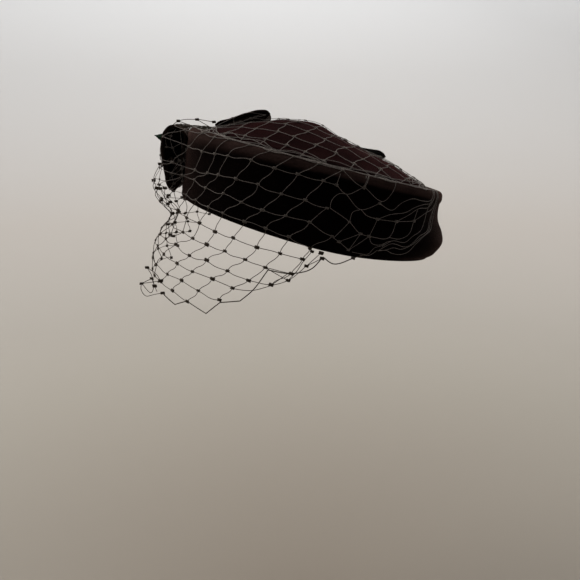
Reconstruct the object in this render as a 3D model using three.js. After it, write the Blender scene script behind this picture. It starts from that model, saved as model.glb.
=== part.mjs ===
// A pillbox hat: a low domed felt crown inside a turned-up felt cuff, with ribbon loops
// and a leaf at the front, and a knotted net veil that hangs below the cuff.
// Millimetres. +Z is up, -X is the wearer's front and -Y the wearer's left.
// The origin is the middle of the head opening, and the hat is worn with its back lower.
import * as THREE from "three";

// Head opening and the way that the hat is worn
const WORN_TILT_DEGREES = 16;
const OPENING_LENGTH = 176;
const OPENING_WIDTH = 153;
const OVAL_EXPONENT = 2.05; // 2 would be a plain ellipse

// Felt
const CROWN_WALL = 2;
const CUFF_WALL = 2.2;
const SEAM_GAP = 0.3;

// Crown
const DOME_RISE = 23.5; // above the top of the rim
const DOME_PEAK_FORWARD = 12.8;

// Cuff
const RIM_FRONT_HEIGHT = 46.3;
const RIM_BACK_HEIGHT = 51.7;
const RIM_HOLLOW_RADIUS = 1.1; // inside the rolled rim
const RIM_HEM = 3; // flat end of the roll, against the crown
const CUFF_SWELL = 8;
const EDGE_LIFT = 2.6; // wave of the lower edge behind each ear
const BACK_EDGE_LIFT = 3; // of the lower edge at the middle of the back
const BACK_EDGE_POWER = 6; // how sharply that lift ends towards the sides

// Ribbon loops
const RIBBON_WALL = 1.5;
const RIBBON_SEAT_GAP = 0.6;
const NET_CLEARANCE = 1.2; // that the front loop's back keeps from the net
const NET_STEP_HEIGHT = 3.4; // of the step in its back, above the net's first knots
const FRONT_LOOP_HEIGHT = 43.5;
const FRONT_LOOP_REACH = 16;
const FRONT_LOOP_WIDTH = 28;
const FRONT_LOOP_ASIDE = -3; // of its middle, towards the wearer's right
const TOP_LOOP_LENGTH = 36.5;
const TOP_LOOP_HEIGHT = 8.2;
const TOP_LOOP_WIDTH = 30;
const TOP_LOOP_SETBACK = 6.5; // of its pinched end, from the front of the opening
const TOP_LOOP_ASIDE = 8;
const FAR_LOOP_LENGTH = 38;
const FAR_LOOP_HEIGHT = 6;
const FAR_LOOP_WIDTH = 24;
const FAR_LOOP_SETBACK = 97;
const FAR_LOOP_ASIDE = 38;

// Leaf
const LEAF_LENGTH = 30.5;
const LEAF_WIDTH = 12;
const LEAF_THICKNESS = 1.2;
const LEAF_HEIGHT = 31; // above the lower edge of the cuff
const LEAF_CLEARANCE = 0.6; // from the front loop's edge
const LEAF_CURL = 3;
const LEAF_FOLD = 0.3; // depth of its fold, as a share of its half width
const LEAF_TIP = 0.06; // width of both blunt ends, as a share of the widest
const LEAF_FULLNESS = 0.8; // below 1, the widest place lies nearer the stem

// Veil
const CELL_LENGTH = 14.6; // along the cuff, from knot to knot
const CELL_DROP = 10.4; // from one row of knots to the next
const CELL_LEAN = 6.3; // that each row lies further forward on the wearer's left
const CELL_START = 7.8; // first knot past the front, on the wearer's left
const KNOT_SIZE = 3.4;
const STRAND_WIDTH = 1.1;
const NET_THICKNESS = 0.9;
const VEIL_SEAT_HEIGHT = 3; // first row of knots, on the cuff above its lower edge
const VEIL_DEPTH = 63; // below the cuff's lower edge, at the front
const VEIL_SWELL = 10;
const VEIL_REACH = 156; // round the cuff, from the front to each upper end

// Numbers of steps of the faceted solids
const ROUND_COUNT = 56;
const OUTLINE_COUNT = 22;
const ACROSS_COUNT = 4;
const MEASURE_COUNT = 720;
const SOLVE_COUNT = 24;

const HALF_LENGTH = OPENING_LENGTH / 2;
const HALF_WIDTH = OPENING_WIDTH / 2;
const EDGE_OUT = CROWN_WALL + SEAM_GAP + CUFF_WALL; // from the opening to the cuff's outer edge
const ROLL_RADIUS = RIM_HOLLOW_RADIUS + CUFF_WALL;

// The cuff's outer face, from its lower edge to the widest line of the rim.
// height is a share of the height below the roll, the others are shares of CUFF_SWELL.
const CUFF_ROWS = [
  { height: 0, front: 0, side: 0, back: 0 },
  { height: 0.15, front: 0.06, side: 0.19, back: 0.62 },
  { height: 0.3, front: 0.12, side: 0.27, back: 0.87 },
  { height: 0.48, front: 0.31, side: 0.3, back: 0.38 },
  { height: 0.64, front: 0.5, side: 0.27, back: -0.32 },
  { height: 0.8, front: 0.62, side: 0.31, back: -0.58 },
  { height: 1, front: 0.65, side: 0.37, back: -0.62 },
];

// The dome from its peak outwards. out is a share of the crown's outline, front and back of DOME_RISE.
const DOME_ROWS = [
  { out: 0.05, front: 0.99, back: 0.965 },
  { out: 0.12, front: 0.965, back: 0.88 },
  { out: 0.21, front: 0.92, back: 0.755 },
  { out: 0.32, front: 0.84, back: 0.655 },
  { out: 0.48, front: 0.66, back: 0.52 },
  { out: 0.65, front: 0.42, back: 0.39 },
  { out: 0.8, front: 0.21, back: 0.19 },
  { out: 0.92, front: 0.06, back: 0.04 },
  { out: 0.965, front: 0, back: 0 },
];

// The front loop seen from the side, from below round its front and down the cuff.
// up is a share of its height, out of its reach.
const FRONT_LOOP_ROWS = [
  { up: 0, out: 0.3 },
  { up: 0.04, out: 0.58 },
  { up: 0.25, out: 0.84 },
  { up: 0.48, out: 1 },
  { up: 0.68, out: 1 },
  { up: 0.86, out: 0.86 },
  { up: 0.98, out: 0.52 },
  { up: 1, out: 0.2 },
  { up: 0.93, out: 0 },
  { up: 0.5, out: 0 },
];

// A loop that lies on the crown. along is a share of its length, up of its height.
const FLAT_LOOP_ROWS = [
  { along: 0, up: 0.2 },
  { along: 0.03, up: 0.42 },
  { along: 0.25, up: 0.66 },
  { along: 0.5, up: 0.9 },
  { along: 0.75, up: 1 },
  { along: 0.93, up: 0.82 },
  { along: 1, up: 0.45 },
  { along: 0.93, up: 0.08 },
  { along: 0.7, up: 0 },
  { along: 0.35, up: 0 },
  { along: 0.05, up: 0 },
];

// The veil below the cuff. drop is a share of VEIL_DEPTH, front and side of VEIL_SWELL.
const VEIL_ROWS = [
  { drop: 0, front: 0.04, side: 0.04 },
  { drop: 0.14, front: 0.14, side: 0.1 },
  { drop: 0.28, front: 0.35, side: 0.2 },
  { drop: 0.48, front: 0.75, side: 0.3 },
  { drop: 0.72, front: 1, side: 0.38 },
  { drop: 1, front: 0.85, side: 0.42 },
];

// How far round each side the veil reaches. drop is a share of VEIL_DEPTH, left and right of VEIL_REACH.
const VEIL_EDGE_ROWS = [
  { drop: 0.12, left: 0.97, right: 0.95 },
  { drop: 0.28, left: 0.86, right: 0.46 },
  { drop: 0.45, left: 0.8, right: 0.37 },
  { drop: 0.61, left: 0.76, right: 0.32 },
  { drop: 0.78, left: 0.72, right: 0.29 },
  { drop: 0.94, left: 0.6, right: 0.27 },
];

// A column of a table at any value of its first column, in straight lines between rows
function columnAt(rows, key, at, column) {
  const last = rows[rows.length - 1];
  if (at <= rows[0][key]) return rows[0][column];
  if (at >= last[key]) return last[column];
  const i = rows.findIndex((row) => row[key] > at);
  const share = (at - rows[i - 1][key]) / (rows[i][key] - rows[i - 1][key]);
  return THREE.MathUtils.lerp(rows[i - 1][column], rows[i][column], share);
}

// The opening's oval grown outwards by out; turn 0 is the front and a quarter turn the left side
function ovalPoint(turn, out) {
  const c = Math.cos(turn);
  const s = Math.sin(turn);
  const power = 2 / OVAL_EXPONENT;
  const x = -(HALF_LENGTH + out) * Math.sign(c) * Math.abs(c) ** power;
  const y = -(HALF_WIDTH + out) * Math.sign(s) * Math.abs(s) ** power;
  return [x, y];
}

// The turn of the oval at which a plan point lies
function turnOf(x, y) {
  const power = OVAL_EXPONENT / 2;
  const c = -Math.sign(x) * (Math.abs(x) / HALF_LENGTH) ** power;
  const s = -Math.sign(y) * (Math.abs(y) / HALF_WIDTH) ** power;
  return Math.atan2(s, c);
}

function rimTopHeight(x) {
  return THREE.MathUtils.lerp(RIM_FRONT_HEIGHT, RIM_BACK_HEIGHT, (x / HALF_LENGTH + 1) / 2);
}

function lowerEdgeHeight(turn) {
  const behind = Math.max(-Math.cos(turn), 0);
  const wave = behind > 0 ? EDGE_LIFT * Math.sin(2 * turn) ** 2 : 0;
  return wave + BACK_EDGE_LIFT * behind ** BACK_EDGE_POWER;
}

// How far the cuff's outer face stands out from the opening at a share of its height
function cuffOut(turn, share) {
  const c = Math.cos(turn);
  const front = Math.max(c, 0) ** 2 * columnAt(CUFF_ROWS, "height", share, "front");
  const side = Math.sin(turn) ** 2 * columnAt(CUFF_ROWS, "height", share, "side");
  const back = Math.max(-c, 0) ** 2 * columnAt(CUFF_ROWS, "height", share, "back");
  return EDGE_OUT + CUFF_SWELL * (front + side + back);
}

function rollHeight(turn) {
  const [x] = ovalPoint(turn, cuffOut(turn, 1));
  return rimTopHeight(x) - ROLL_RADIUS;
}

function crownOut(turn) {
  return cuffOut(turn, 1) - 2 * ROLL_RADIUS - SEAM_GAP;
}

// A point on the crown's outline shrunk towards its peak to a share of its size
function domePlan(turn, share, out) {
  const [x, y] = ovalPoint(turn, out);
  return [x * share - DOME_PEAK_FORWARD * (1 - share), y * share];
}

// How far the dome stands above the rim at a turn and a share of the crown's outline
function domeRise(turn, share) {
  const front = columnAt(DOME_ROWS, "out", share, "front");
  const back = columnAt(DOME_ROWS, "out", share, "back");
  return DOME_RISE * THREE.MathUtils.lerp(front, back, (1 - Math.cos(turn)) / 2);
}

// The crown's height above the opening at a plan point
function crownHeight(x, y) {
  let share = 0.5;
  let turn = 0;
  for (let i = 0; i < SOLVE_COUNT; i++) {
    const middle = -DOME_PEAK_FORWARD * (1 - share);
    turn = turnOf(x - middle, y);
    const [ox, oy] = ovalPoint(turn, crownOut(turn));
    share = Math.hypot(x - middle, y) / Math.hypot(ox, oy);
  }
  return rimTopHeight(x) + domeRise(turn, share);
}

// A closed surface from rings of points, either joined end to end or capped at both ends
function loft(rings, joined) {
  const count = rings[0].length;
  const points = rings.flat();
  const faces = [];
  const lastRing = joined ? rings.length : rings.length - 1;
  for (let i = 0; i < lastRing; i++) {
    for (let k = 0; k < count; k++) {
      const a = i * count + k;
      const b = i * count + ((k + 1) % count);
      const c = ((i + 1) % rings.length) * count + k;
      const d = ((i + 1) % rings.length) * count + ((k + 1) % count);
      faces.push([a, b, d], [a, d, c]);
    }
  }
  if (!joined) {
    capRing(rings[0], 0, points, faces, false);
    capRing(rings[rings.length - 1], (rings.length - 1) * count, points, faces, true);
  }
  return solid(points, faces);
}

function capRing(ring, first, points, faces, forwards) {
  const middle = [0, 1, 2].map((axis) => ring.reduce((sum, p) => sum + p[axis], 0) / ring.length);
  const hub = points.push(middle) - 1;
  for (let k = 0; k < ring.length; k++) {
    const a = first + k;
    const b = first + ((k + 1) % ring.length);
    faces.push(forwards ? [a, b, hub] : [b, a, hub]);
  }
}

// An indexed geometry whose faces point out
function solid(points, faces) {
  let volume = 0;
  for (const [a, b, c] of faces) {
    const corner = new THREE.Vector3(...points[a]);
    volume += corner.dot(new THREE.Vector3(...points[b]).cross(new THREE.Vector3(...points[c])));
  }
  const order = volume > 0 ? faces : faces.map(([a, b, c]) => [a, c, b]);
  const geometry = new THREE.BufferGeometry();
  geometry.setAttribute("position", new THREE.Float32BufferAttribute(points.flat(), 3));
  geometry.setIndex(order.flat());
  geometry.computeVertexNormals();
  return geometry;
}

const turns = Array.from({ length: ROUND_COUNT }, (_, k) => (k / ROUND_COUNT) * 2 * Math.PI);

// The crown: the dome and its wall outside, then the same inside, one felt thickness in
function crownGeometry() {
  const ring = (place) => turns.map(place);
  const wallRing = (inwards, top) =>
    ring((turn) => {
      const hem = rollHeight(turn) - RIM_HEM - SEAM_GAP;
      const out = top === "edge" ? CROWN_WALL : crownOut(turn);
      const height = { edge: lowerEdgeHeight(turn), hem, roll: rollHeight(turn) }[top];
      return [...ovalPoint(turn, out - inwards), height];
    });
  const domeRing = (row, inwards) =>
    ring((turn) => {
      const [x, y] = domePlan(turn, row.out, crownOut(turn) - inwards);
      return [x, y, rimTopHeight(x) + domeRise(turn, row.out) - inwards];
    });
  const outside = [
    ...DOME_ROWS.map((row) => domeRing(row, 0)),
    wallRing(0, "roll"),
    wallRing(0, "hem"),
    wallRing(0, "edge"),
  ];
  const inside = [
    wallRing(CROWN_WALL, "edge"),
    wallRing(CROWN_WALL, "hem"),
    ...DOME_ROWS.slice(1, -1).reverse().map((row) => domeRing(row, CROWN_WALL)),
  ];
  return loft([...outside, ...inside], false);
}

// The cuff: outer face, rolled rim and hem, then back down inside, one felt thickness in
function cuffGeometry() {
  const section = (turn) => {
    const edge = lowerEdgeHeight(turn);
    const top = rollHeight(turn);
    const widest = cuffOut(turn, 1);
    const face = CUFF_ROWS.map((row) => [cuffOut(turn, row.height), edge + row.height * (top - edge)]);
    const arc = (radius, degrees) =>
      degrees.map((degree) => {
        const angle = THREE.MathUtils.degToRad(degree);
        return [widest - ROLL_RADIUS + radius * Math.cos(angle), top + radius * Math.sin(angle)];
      });
    const hemOut = widest - 2 * ROLL_RADIUS;
    const inner = face.map(([out, height]) => [out - CUFF_WALL, height]);
    return [
      ...face,
      ...arc(ROLL_RADIUS, [45, 90, 135, 180]),
      [hemOut, top - RIM_HEM],
      [hemOut + CUFF_WALL, top - RIM_HEM],
      ...arc(RIM_HOLLOW_RADIUS, [180, 90]),
      ...inner.reverse(),
    ];
  };
  const rings = turns.map((turn) => section(turn).map(([out, height]) => [...ovalPoint(turn, out), height]));
  return loft(rings, true);
}

// A closed outline through a table's rows, and the same outline one ribbon thickness inside
function ribbonOutlines(corners) {
  const curve = new THREE.CatmullRomCurve3(
    corners.map(([along, up]) => new THREE.Vector3(along, up, 0)),
    true,
    "catmullrom",
    0.5,
  );
  const outer = curve.getSpacedPoints(OUTLINE_COUNT).slice(0, OUTLINE_COUNT);
  for (const point of outer) point.y = Math.max(point.y, 0);
  const area = THREE.ShapeUtils.area(outer);
  const inner = outer.map((point, k) => {
    const before = outer[(k + OUTLINE_COUNT - 1) % OUTLINE_COUNT];
    const after = outer[(k + 1) % OUTLINE_COUNT];
    const tangent = after.clone().sub(before).normalize();
    const inwards = new THREE.Vector3(-tangent.y, tangent.x, 0).multiplyScalar(Math.sign(area));
    return point.clone().addScaledVector(inwards, RIBBON_WALL);
  });
  return [outer, inner];
}

// A ribbon bent into a loop: the band between both outlines, as wide as width
function ribbonLoopGeometry(corners, width, place) {
  const [outer, inner] = ribbonOutlines(corners);
  const across = Array.from({ length: ACROSS_COUNT + 1 }, (_, k) => (k / ACROSS_COUNT - 0.5) * width);
  const rings = outer.map((point, k) => [
    ...across.map((aside) => place(point.x, point.y, aside)),
    ...across.toReversed().map((aside) => place(inner[k].x, inner[k].y, aside)),
  ]);
  return loft(rings, true);
}

// A place on or before the cuff's front; aside is measured towards the wearer's right
function onCuffFront(height, out, aside) {
  const turn = -aside / (HALF_WIDTH + EDGE_OUT);
  const share = THREE.MathUtils.clamp(height / rollHeight(turn), 0, 1);
  return [...ovalPoint(turn, cuffOut(turn, share) + out), height];
}

// The front loop, whose lower corner steps over the first row of the net
function frontLoopGeometry() {
  const corners = FRONT_LOOP_ROWS.map((row) => [row.up * FRONT_LOOP_HEIGHT, row.out * FRONT_LOOP_REACH]);
  const netFront = SEAM_GAP + NET_THICKNESS + NET_CLEARANCE;
  corners.push([VEIL_SEAT_HEIGHT + KNOT_SIZE / 2 + NET_STEP_HEIGHT, 0], [VEIL_SEAT_HEIGHT, netFront]);
  return ribbonLoopGeometry(corners, FRONT_LOOP_WIDTH, (height, out, across) =>
    onCuffFront(height, RIBBON_SEAT_GAP + out, FRONT_LOOP_ASIDE + across),
  );
}

// A loop that lies on the crown, setback behind the front of the opening
function flatLoopGeometry(setback, aside, length, height, width) {
  const corners = FLAT_LOOP_ROWS.map((row) => [row.along * length, row.up * height]);
  return ribbonLoopGeometry(corners, width, (along, up, across) => {
    const x = setback - HALF_LENGTH + along;
    const y = aside + across;
    return [x, y, crownHeight(x, y) + RIBBON_SEAT_GAP + up];
  });
}

// The leaf: a thin folded blade that stands out from the cuff beside the front loop
function leafGeometry() {
  const steps = [0, 0.12, 0.3, 0.5, 0.7, 0.88, 1];
  const rings = steps.map((share) => {
    const half = (LEAF_WIDTH / 2) * Math.max(Math.sin(Math.PI * share ** LEAF_FULLNESS), LEAF_TIP);
    const out = RIBBON_SEAT_GAP + share * LEAF_LENGTH;
    const inner = FRONT_LOOP_ASIDE + FRONT_LOOP_WIDTH / 2 + LEAF_CLEARANCE + LEAF_CURL * share ** 2;
    const fold = half * LEAF_FOLD;
    return [
      [LEAF_HEIGHT - half, inner + fold],
      [LEAF_HEIGHT, inner],
      [LEAF_HEIGHT + half, inner + fold],
      [LEAF_HEIGHT + half, inner + fold + LEAF_THICKNESS],
      [LEAF_HEIGHT, inner + LEAF_THICKNESS],
      [LEAF_HEIGHT - half, inner + fold + LEAF_THICKNESS],
    ].map(([height, aside]) => onCuffFront(height, out, aside));
  });
  return loft(rings, false);
}

// Lengths round the cuff's lower edge, from the front, at even turns
const edgeLengths = [0];
for (let k = 1; k <= MEASURE_COUNT; k++) {
  const [ax, ay] = ovalPoint(((k - 1) / MEASURE_COUNT) * Math.PI, EDGE_OUT);
  const [bx, by] = ovalPoint((k / MEASURE_COUNT) * Math.PI, EDGE_OUT);
  edgeLengths.push(edgeLengths[k - 1] + Math.hypot(bx - ax, by - ay));
}

// The turn at a length round the lower edge, plus on the wearer's left
function turnAtLength(length) {
  const reach = Math.min(Math.abs(length), edgeLengths[MEASURE_COUNT]);
  const k = Math.max(edgeLengths.findIndex((value) => value >= reach), 1);
  const share = (reach - edgeLengths[k - 1]) / (edgeLengths[k] - edgeLengths[k - 1]);
  return (Math.sign(length) * (k - 1 + share) * Math.PI) / MEASURE_COUNT;
}

// The middle of the net at a length round the cuff and a height
function netPoint(length, height) {
  const turn = turnAtLength(length);
  const rest = SEAM_GAP + NET_THICKNESS / 2;
  let out = cuffOut(turn, Math.max(height, 0) / rollHeight(turn)) + rest;
  if (height < 0) {
    const drop = -height / VEIL_DEPTH;
    const ahead = Math.max(Math.cos(turn), 0) ** 2;
    const front = columnAt(VEIL_ROWS, "drop", drop, "front");
    const side = columnAt(VEIL_ROWS, "drop", drop, "side");
    out += VEIL_SWELL * THREE.MathUtils.lerp(side, front, ahead);
  }
  return new THREE.Vector3(...ovalPoint(turn, out), height);
}

// The veil: knots joined by strands, wherever a whole cell of the net lies above the lower edge
function veilGeometry() {
  const rowCount = Math.round((VEIL_SEAT_HEIGHT + VEIL_DEPTH) / CELL_DROP);
  const knots = new Map();
  const strands = [];
  const lengthOf = (i, j) => CELL_START + i * CELL_LENGTH - j * CELL_LEAN;
  const heightOf = (j) => VEIL_SEAT_HEIGHT - j * CELL_DROP;
  const knotAt = (i, j) => {
    const key = `${i},${j}`;
    if (!knots.has(key)) knots.set(key, { i, j, strands: [] });
    return knots.get(key);
  };
  const join = (a, b) => {
    if (a.strands.some((strand) => strand.to === b)) return;
    a.strands.push({ to: b });
    b.strands.push({ to: a });
    strands.push([a, b]);
  };
  const columns = Math.ceil((VEIL_REACH + rowCount * CELL_LEAN) / CELL_LENGTH) + 1;
  for (let j = 0; j < rowCount; j++) {
    for (let i = -columns; i <= columns; i++) {
      const drop = -heightOf(j + 1) / VEIL_DEPTH;
      const left = VEIL_REACH * columnAt(VEIL_EDGE_ROWS, "drop", drop, "left");
      const right = VEIL_REACH * columnAt(VEIL_EDGE_ROWS, "drop", drop, "right");
      if (lengthOf(i + 1, j + 1) > left || lengthOf(i, j + 1) < -right) continue;
      const corners = [knotAt(i, j), knotAt(i + 1, j), knotAt(i + 1, j + 1), knotAt(i, j + 1)];
      corners.forEach((corner, k) => join(corner, corners[(k + 1) % 4]));
    }
  }
  return netGeometry(knots, strands, lengthOf, heightOf);
}

// A closed solid of flat knots and strands that share their corners
function netGeometry(knots, strands, lengthOf, heightOf) {
  const points = [];
  const faces = [];
  const quad = (a, b, c, d) => faces.push([a, b, c], [a, c, d]);
  for (const knot of knots.values()) {
    const length = lengthOf(knot.i, knot.j);
    const height = heightOf(knot.j);
    knot.at = netPoint(length, height);
    const round = netPoint(length + 1, height).sub(netPoint(length - 1, height)).normalize();
    const up = netPoint(length, height + 1).sub(netPoint(length, height - 1));
    knot.normal = new THREE.Vector3().crossVectors(round, up).normalize();
    knot.round = round;
    knot.up = new THREE.Vector3().crossVectors(knot.normal, round);
  }
  for (const knot of knots.values()) {
    for (const strand of knot.strands) {
      const way = strand.to.at.clone().sub(knot.at);
      strand.angle = Math.atan2(way.dot(knot.up), way.dot(knot.round));
    }
    knot.strands.sort((a, b) => a.angle - b.angle);
    const rim = [];
    for (const strand of knot.strands) {
      for (const side of [-1, 1]) {
        const along = KNOT_SIZE / 2;
        const aside = (side * STRAND_WIDTH) / 2;
        const x = along * Math.cos(strand.angle) - aside * Math.sin(strand.angle);
        const y = along * Math.sin(strand.angle) + aside * Math.cos(strand.angle);
        const flat = knot.at.clone().addScaledVector(knot.round, x).addScaledVector(knot.up, y);
        const [outer, inner] = [0.5, -0.5].map((share) => {
          const point = flat.clone().addScaledVector(knot.normal, share * NET_THICKNESS);
          return points.push(point.toArray()) - 1;
        });
        rim.push([outer, inner]);
      }
      strand.right = rim[rim.length - 2];
      strand.left = rim[rim.length - 1];
    }
    for (let k = 1; k < rim.length - 1; k++) {
      faces.push([rim[0][0], rim[k][0], rim[k + 1][0]]);
      faces.push([rim[0][1], rim[k + 1][1], rim[k][1]]);
    }
    for (let k = 1; k < rim.length; k += 2) {
      const [from, to] = [rim[k], rim[(k + 1) % rim.length]];
      quad(from[0], from[1], to[1], to[0]);
    }
  }
  for (const [a, b] of strands) {
    const there = a.strands.find((strand) => strand.to === b);
    const back = b.strands.find((strand) => strand.to === a);
    quad(there.right[0], back.left[0], back.right[0], there.left[0]);
    quad(there.right[1], there.left[1], back.right[1], back.left[1]);
    quad(there.right[0], there.right[1], back.left[1], back.left[0]);
    quad(there.left[0], back.right[0], back.right[1], there.left[1]);
  }
  return solid(points, faces);
}

// Materials
const felt = new THREE.MeshStandardMaterial({ color: 0x2a1c19, roughness: 0.95, metalness: 0 });
const ribbon = new THREE.MeshStandardMaterial({ color: 0x241713, roughness: 0.85, metalness: 0 });
const green = new THREE.MeshStandardMaterial({ color: 0x0b3a1c, roughness: 0.7, metalness: 0 });
const netting = new THREE.MeshStandardMaterial({ color: 0x3d3026, roughness: 0.9, metalness: 0 });

function named(name, geometry, material) {
  const mesh = new THREE.Mesh(geometry, material);
  mesh.name = name;
  return mesh;
}

const group = new THREE.Group();
group.rotation.y = THREE.MathUtils.degToRad(WORN_TILT_DEGREES);
group.add(
  named("crown", crownGeometry(), felt),
  named("cuff", cuffGeometry(), felt),
  named("front_loop", frontLoopGeometry(), ribbon),
  named(
    "top_loop",
    flatLoopGeometry(TOP_LOOP_SETBACK, TOP_LOOP_ASIDE, TOP_LOOP_LENGTH, TOP_LOOP_HEIGHT, TOP_LOOP_WIDTH),
    ribbon,
  ),
  named(
    "far_loop",
    flatLoopGeometry(FAR_LOOP_SETBACK, FAR_LOOP_ASIDE, FAR_LOOP_LENGTH, FAR_LOOP_HEIGHT, FAR_LOOP_WIDTH),
    ribbon,
  ),
  named("leaf", leafGeometry(), green),
  named("veil", veilGeometry(), netting),
);

export default group;
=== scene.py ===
import math

import bpy
import numpy as np
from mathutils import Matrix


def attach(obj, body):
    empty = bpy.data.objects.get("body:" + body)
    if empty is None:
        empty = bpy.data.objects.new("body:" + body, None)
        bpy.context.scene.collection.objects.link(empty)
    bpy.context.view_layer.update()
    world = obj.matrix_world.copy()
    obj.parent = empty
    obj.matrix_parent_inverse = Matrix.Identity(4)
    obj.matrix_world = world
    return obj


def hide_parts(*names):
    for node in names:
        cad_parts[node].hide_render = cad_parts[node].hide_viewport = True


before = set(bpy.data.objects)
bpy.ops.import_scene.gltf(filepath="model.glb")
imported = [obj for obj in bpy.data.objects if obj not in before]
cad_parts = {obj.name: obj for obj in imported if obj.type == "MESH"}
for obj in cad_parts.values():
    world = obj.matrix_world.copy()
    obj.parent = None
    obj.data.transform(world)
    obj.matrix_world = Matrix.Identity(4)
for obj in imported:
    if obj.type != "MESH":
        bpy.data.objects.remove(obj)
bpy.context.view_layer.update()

# Room, camera and light
# The hat is held up at its mount, so the floor lies well below it. Floor and wall are one round sheet of
# pale paper under one wide soft light and a smaller one behind, its colour painted darker under the hat and
# towards the floor as painted shade.
FLOOR_HEIGHT = -0.348
ROOM_RADIUS = 1.5
ROOM_CORNER = 0.6
ROOM_WALL = 1.6
# The paper's colour with painted shade: darkest at the floor under the hat, lighter outwards and up the wall.
ROOM_PAPER_AND_SHADE_COLOURS = (
    (0.0, (0.215, 0.188, 0.158, 1)),
    (0.19, (0.295, 0.276, 0.245, 1)),
    (0.55, (0.457, 0.435, 0.413, 1)),
    (1.0, (0.68, 0.70, 0.73, 1)),
)
CAMERA_PLACE = (-0.0109, -0.430, 0.0653)
CAMERA_PITCH = math.radians(75)
CAMERA_LENS = 36.06
SENSOR_WIDTH = 36
LIGHT_COLOUR = (1.0, 0.97, 0.93)


def place_camera():
    data = bpy.data.cameras.new("camera")
    data.lens = CAMERA_LENS
    data.sensor_width = SENSOR_WIDTH
    data.clip_start = 0.01
    camera = bpy.data.objects.new("camera", data)
    camera.location = CAMERA_PLACE
    camera.rotation_euler = (CAMERA_PITCH, 0, 0)
    bpy.context.collection.objects.link(camera)
    bpy.context.scene.camera = camera


def soft_light(name, place, aim, size, power):
    data = bpy.data.lights.new(name, "AREA")
    data.shape = "DISK"
    data.size = size
    data.energy = power
    data.color = LIGHT_COLOUR
    light = bpy.data.objects.new(name, data)
    light.location = place
    way = np.array(aim) - np.array(place)
    flat = math.hypot(way[0], way[1])
    light.rotation_euler = (math.atan2(flat, -way[2]), 0, math.atan2(way[1], way[0]) - math.pi / 2)
    bpy.context.collection.objects.link(light)


def grid_faces(rows, columns, joined_rows, joined_columns):
    """Four-cornered faces between the points of a grid, row by row, as one array of point numbers."""
    i = np.arange(rows if joined_rows else rows - 1)[:, None]
    k = np.arange(columns if joined_columns else columns - 1)[None, :]
    a = i * columns + k
    b = i * columns + (k + 1) % columns
    c = ((i + 1) % rows) * columns + (k + 1) % columns
    d = ((i + 1) % rows) * columns + k
    return np.stack([a, b, c, d], -1).reshape(-1, 4)


def add_mesh(name, points, faces, materials, face_material=None):
    """A smooth mesh object at the origin from points in metres and lists of faces."""
    mesh = bpy.data.meshes.new(name)
    mesh.from_pydata(points, [], faces)
    for material in materials:
        mesh.materials.append(material)
    if face_material is not None:
        mesh.polygons.foreach_set("material_index", face_material)
    mesh.polygons.foreach_set("use_smooth", np.ones(len(mesh.polygons), bool))
    mesh.update()
    piece = bpy.data.objects.new(name, mesh)
    bpy.context.collection.objects.link(piece)
    return piece


def new_material(name):
    material = bpy.data.materials.new(name)
    material.use_nodes = True
    nodes = material.node_tree.nodes
    return material, nodes, material.node_tree.links, nodes["Principled BSDF"]


def set_inputs(node, values):
    for name, value in values.items():
        node.inputs[name].default_value = value


def add_node(nodes, kind, values):
    """A shader node with the values of some of its inputs."""
    node = nodes.new("ShaderNode" + kind)
    set_inputs(node, values)
    return node


def ramp_on(nodes, links, source, stops):
    """The colour of a ramp on a source. Its stops are shares and colours, in order."""
    ramp = nodes.new("ShaderNodeValToRGB")
    elements = ramp.color_ramp.elements
    for element, (share, colour) in zip(elements, (stops[0], stops[-1])):
        element.position = share
        element.color = colour
    for share, colour in stops[1:-1]:
        elements.new(share).color = colour
    links.new(source, ramp.inputs["Fac"])
    return ramp.outputs["Color"]


def room_paper_painted_shade():
    """Matt paper with painted shade, darkest under the hat: its colour rises with the distance out, then with
    the height.
    """
    material, nodes, links, shader = new_material("room_paper_painted_shade")
    place = nodes.new("ShaderNodeTexCoord")
    split = nodes.new("ShaderNodeSeparateXYZ")
    flat = nodes.new("ShaderNodeCombineXYZ")
    out = nodes.new("ShaderNodeVectorMath")
    out.operation = "LENGTH"
    distance = add_node(nodes, "MapRange", {"From Max": ROOM_RADIUS, "To Max": 0.5})
    height = add_node(nodes, "MapRange", {
        "From Min": FLOOR_HEIGHT, "From Max": FLOOR_HEIGHT + ROOM_WALL / 2, "To Max": 0.5})
    both = nodes.new("ShaderNodeMath")
    links.new(place.outputs["Object"], split.inputs[0])
    links.new(split.outputs["X"], flat.inputs["X"])
    links.new(split.outputs["Y"], flat.inputs["Y"])
    links.new(flat.outputs[0], out.inputs[0])
    links.new(out.outputs["Value"], distance.inputs["Value"])
    links.new(split.outputs["Z"], height.inputs["Value"])
    links.new(distance.outputs["Result"], both.inputs[0])
    links.new(height.outputs["Result"], both.inputs[1])
    links.new(ramp_on(nodes, links, both.outputs[0], ROOM_PAPER_AND_SHADE_COLOURS), shader.inputs["Base Color"])
    set_inputs(shader, {"Roughness": 0.95, "Specular IOR Level": 0.1})
    return material


def room():
    """A profile carried round the middle: flat floor, quarter-round corner, upright wall."""
    bend = np.linspace(0, math.pi / 2, 24)
    corner = ROOM_RADIUS - ROOM_CORNER
    out = np.concatenate([[0.01, corner / 2], corner + ROOM_CORNER * np.sin(bend), [ROOM_RADIUS]])
    up = np.concatenate([[0, 0], ROOM_CORNER * (1 - np.cos(bend)), [ROOM_WALL]]) + FLOOR_HEIGHT
    turn = np.linspace(0, 2 * math.pi, 96, endpoint=False)[:, None]
    points = np.stack([out * np.cos(turn), out * np.sin(turn), up + 0 * turn], -1)
    faces = grid_faces(*points.shape[:2], True, False)
    first_ring = np.arange(points.shape[0]) * points.shape[1]
    faces = faces.tolist() + [first_ring.tolist()]
    return add_mesh("room", points.reshape(-1, 3), faces, [room_paper_painted_shade()])


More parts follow.
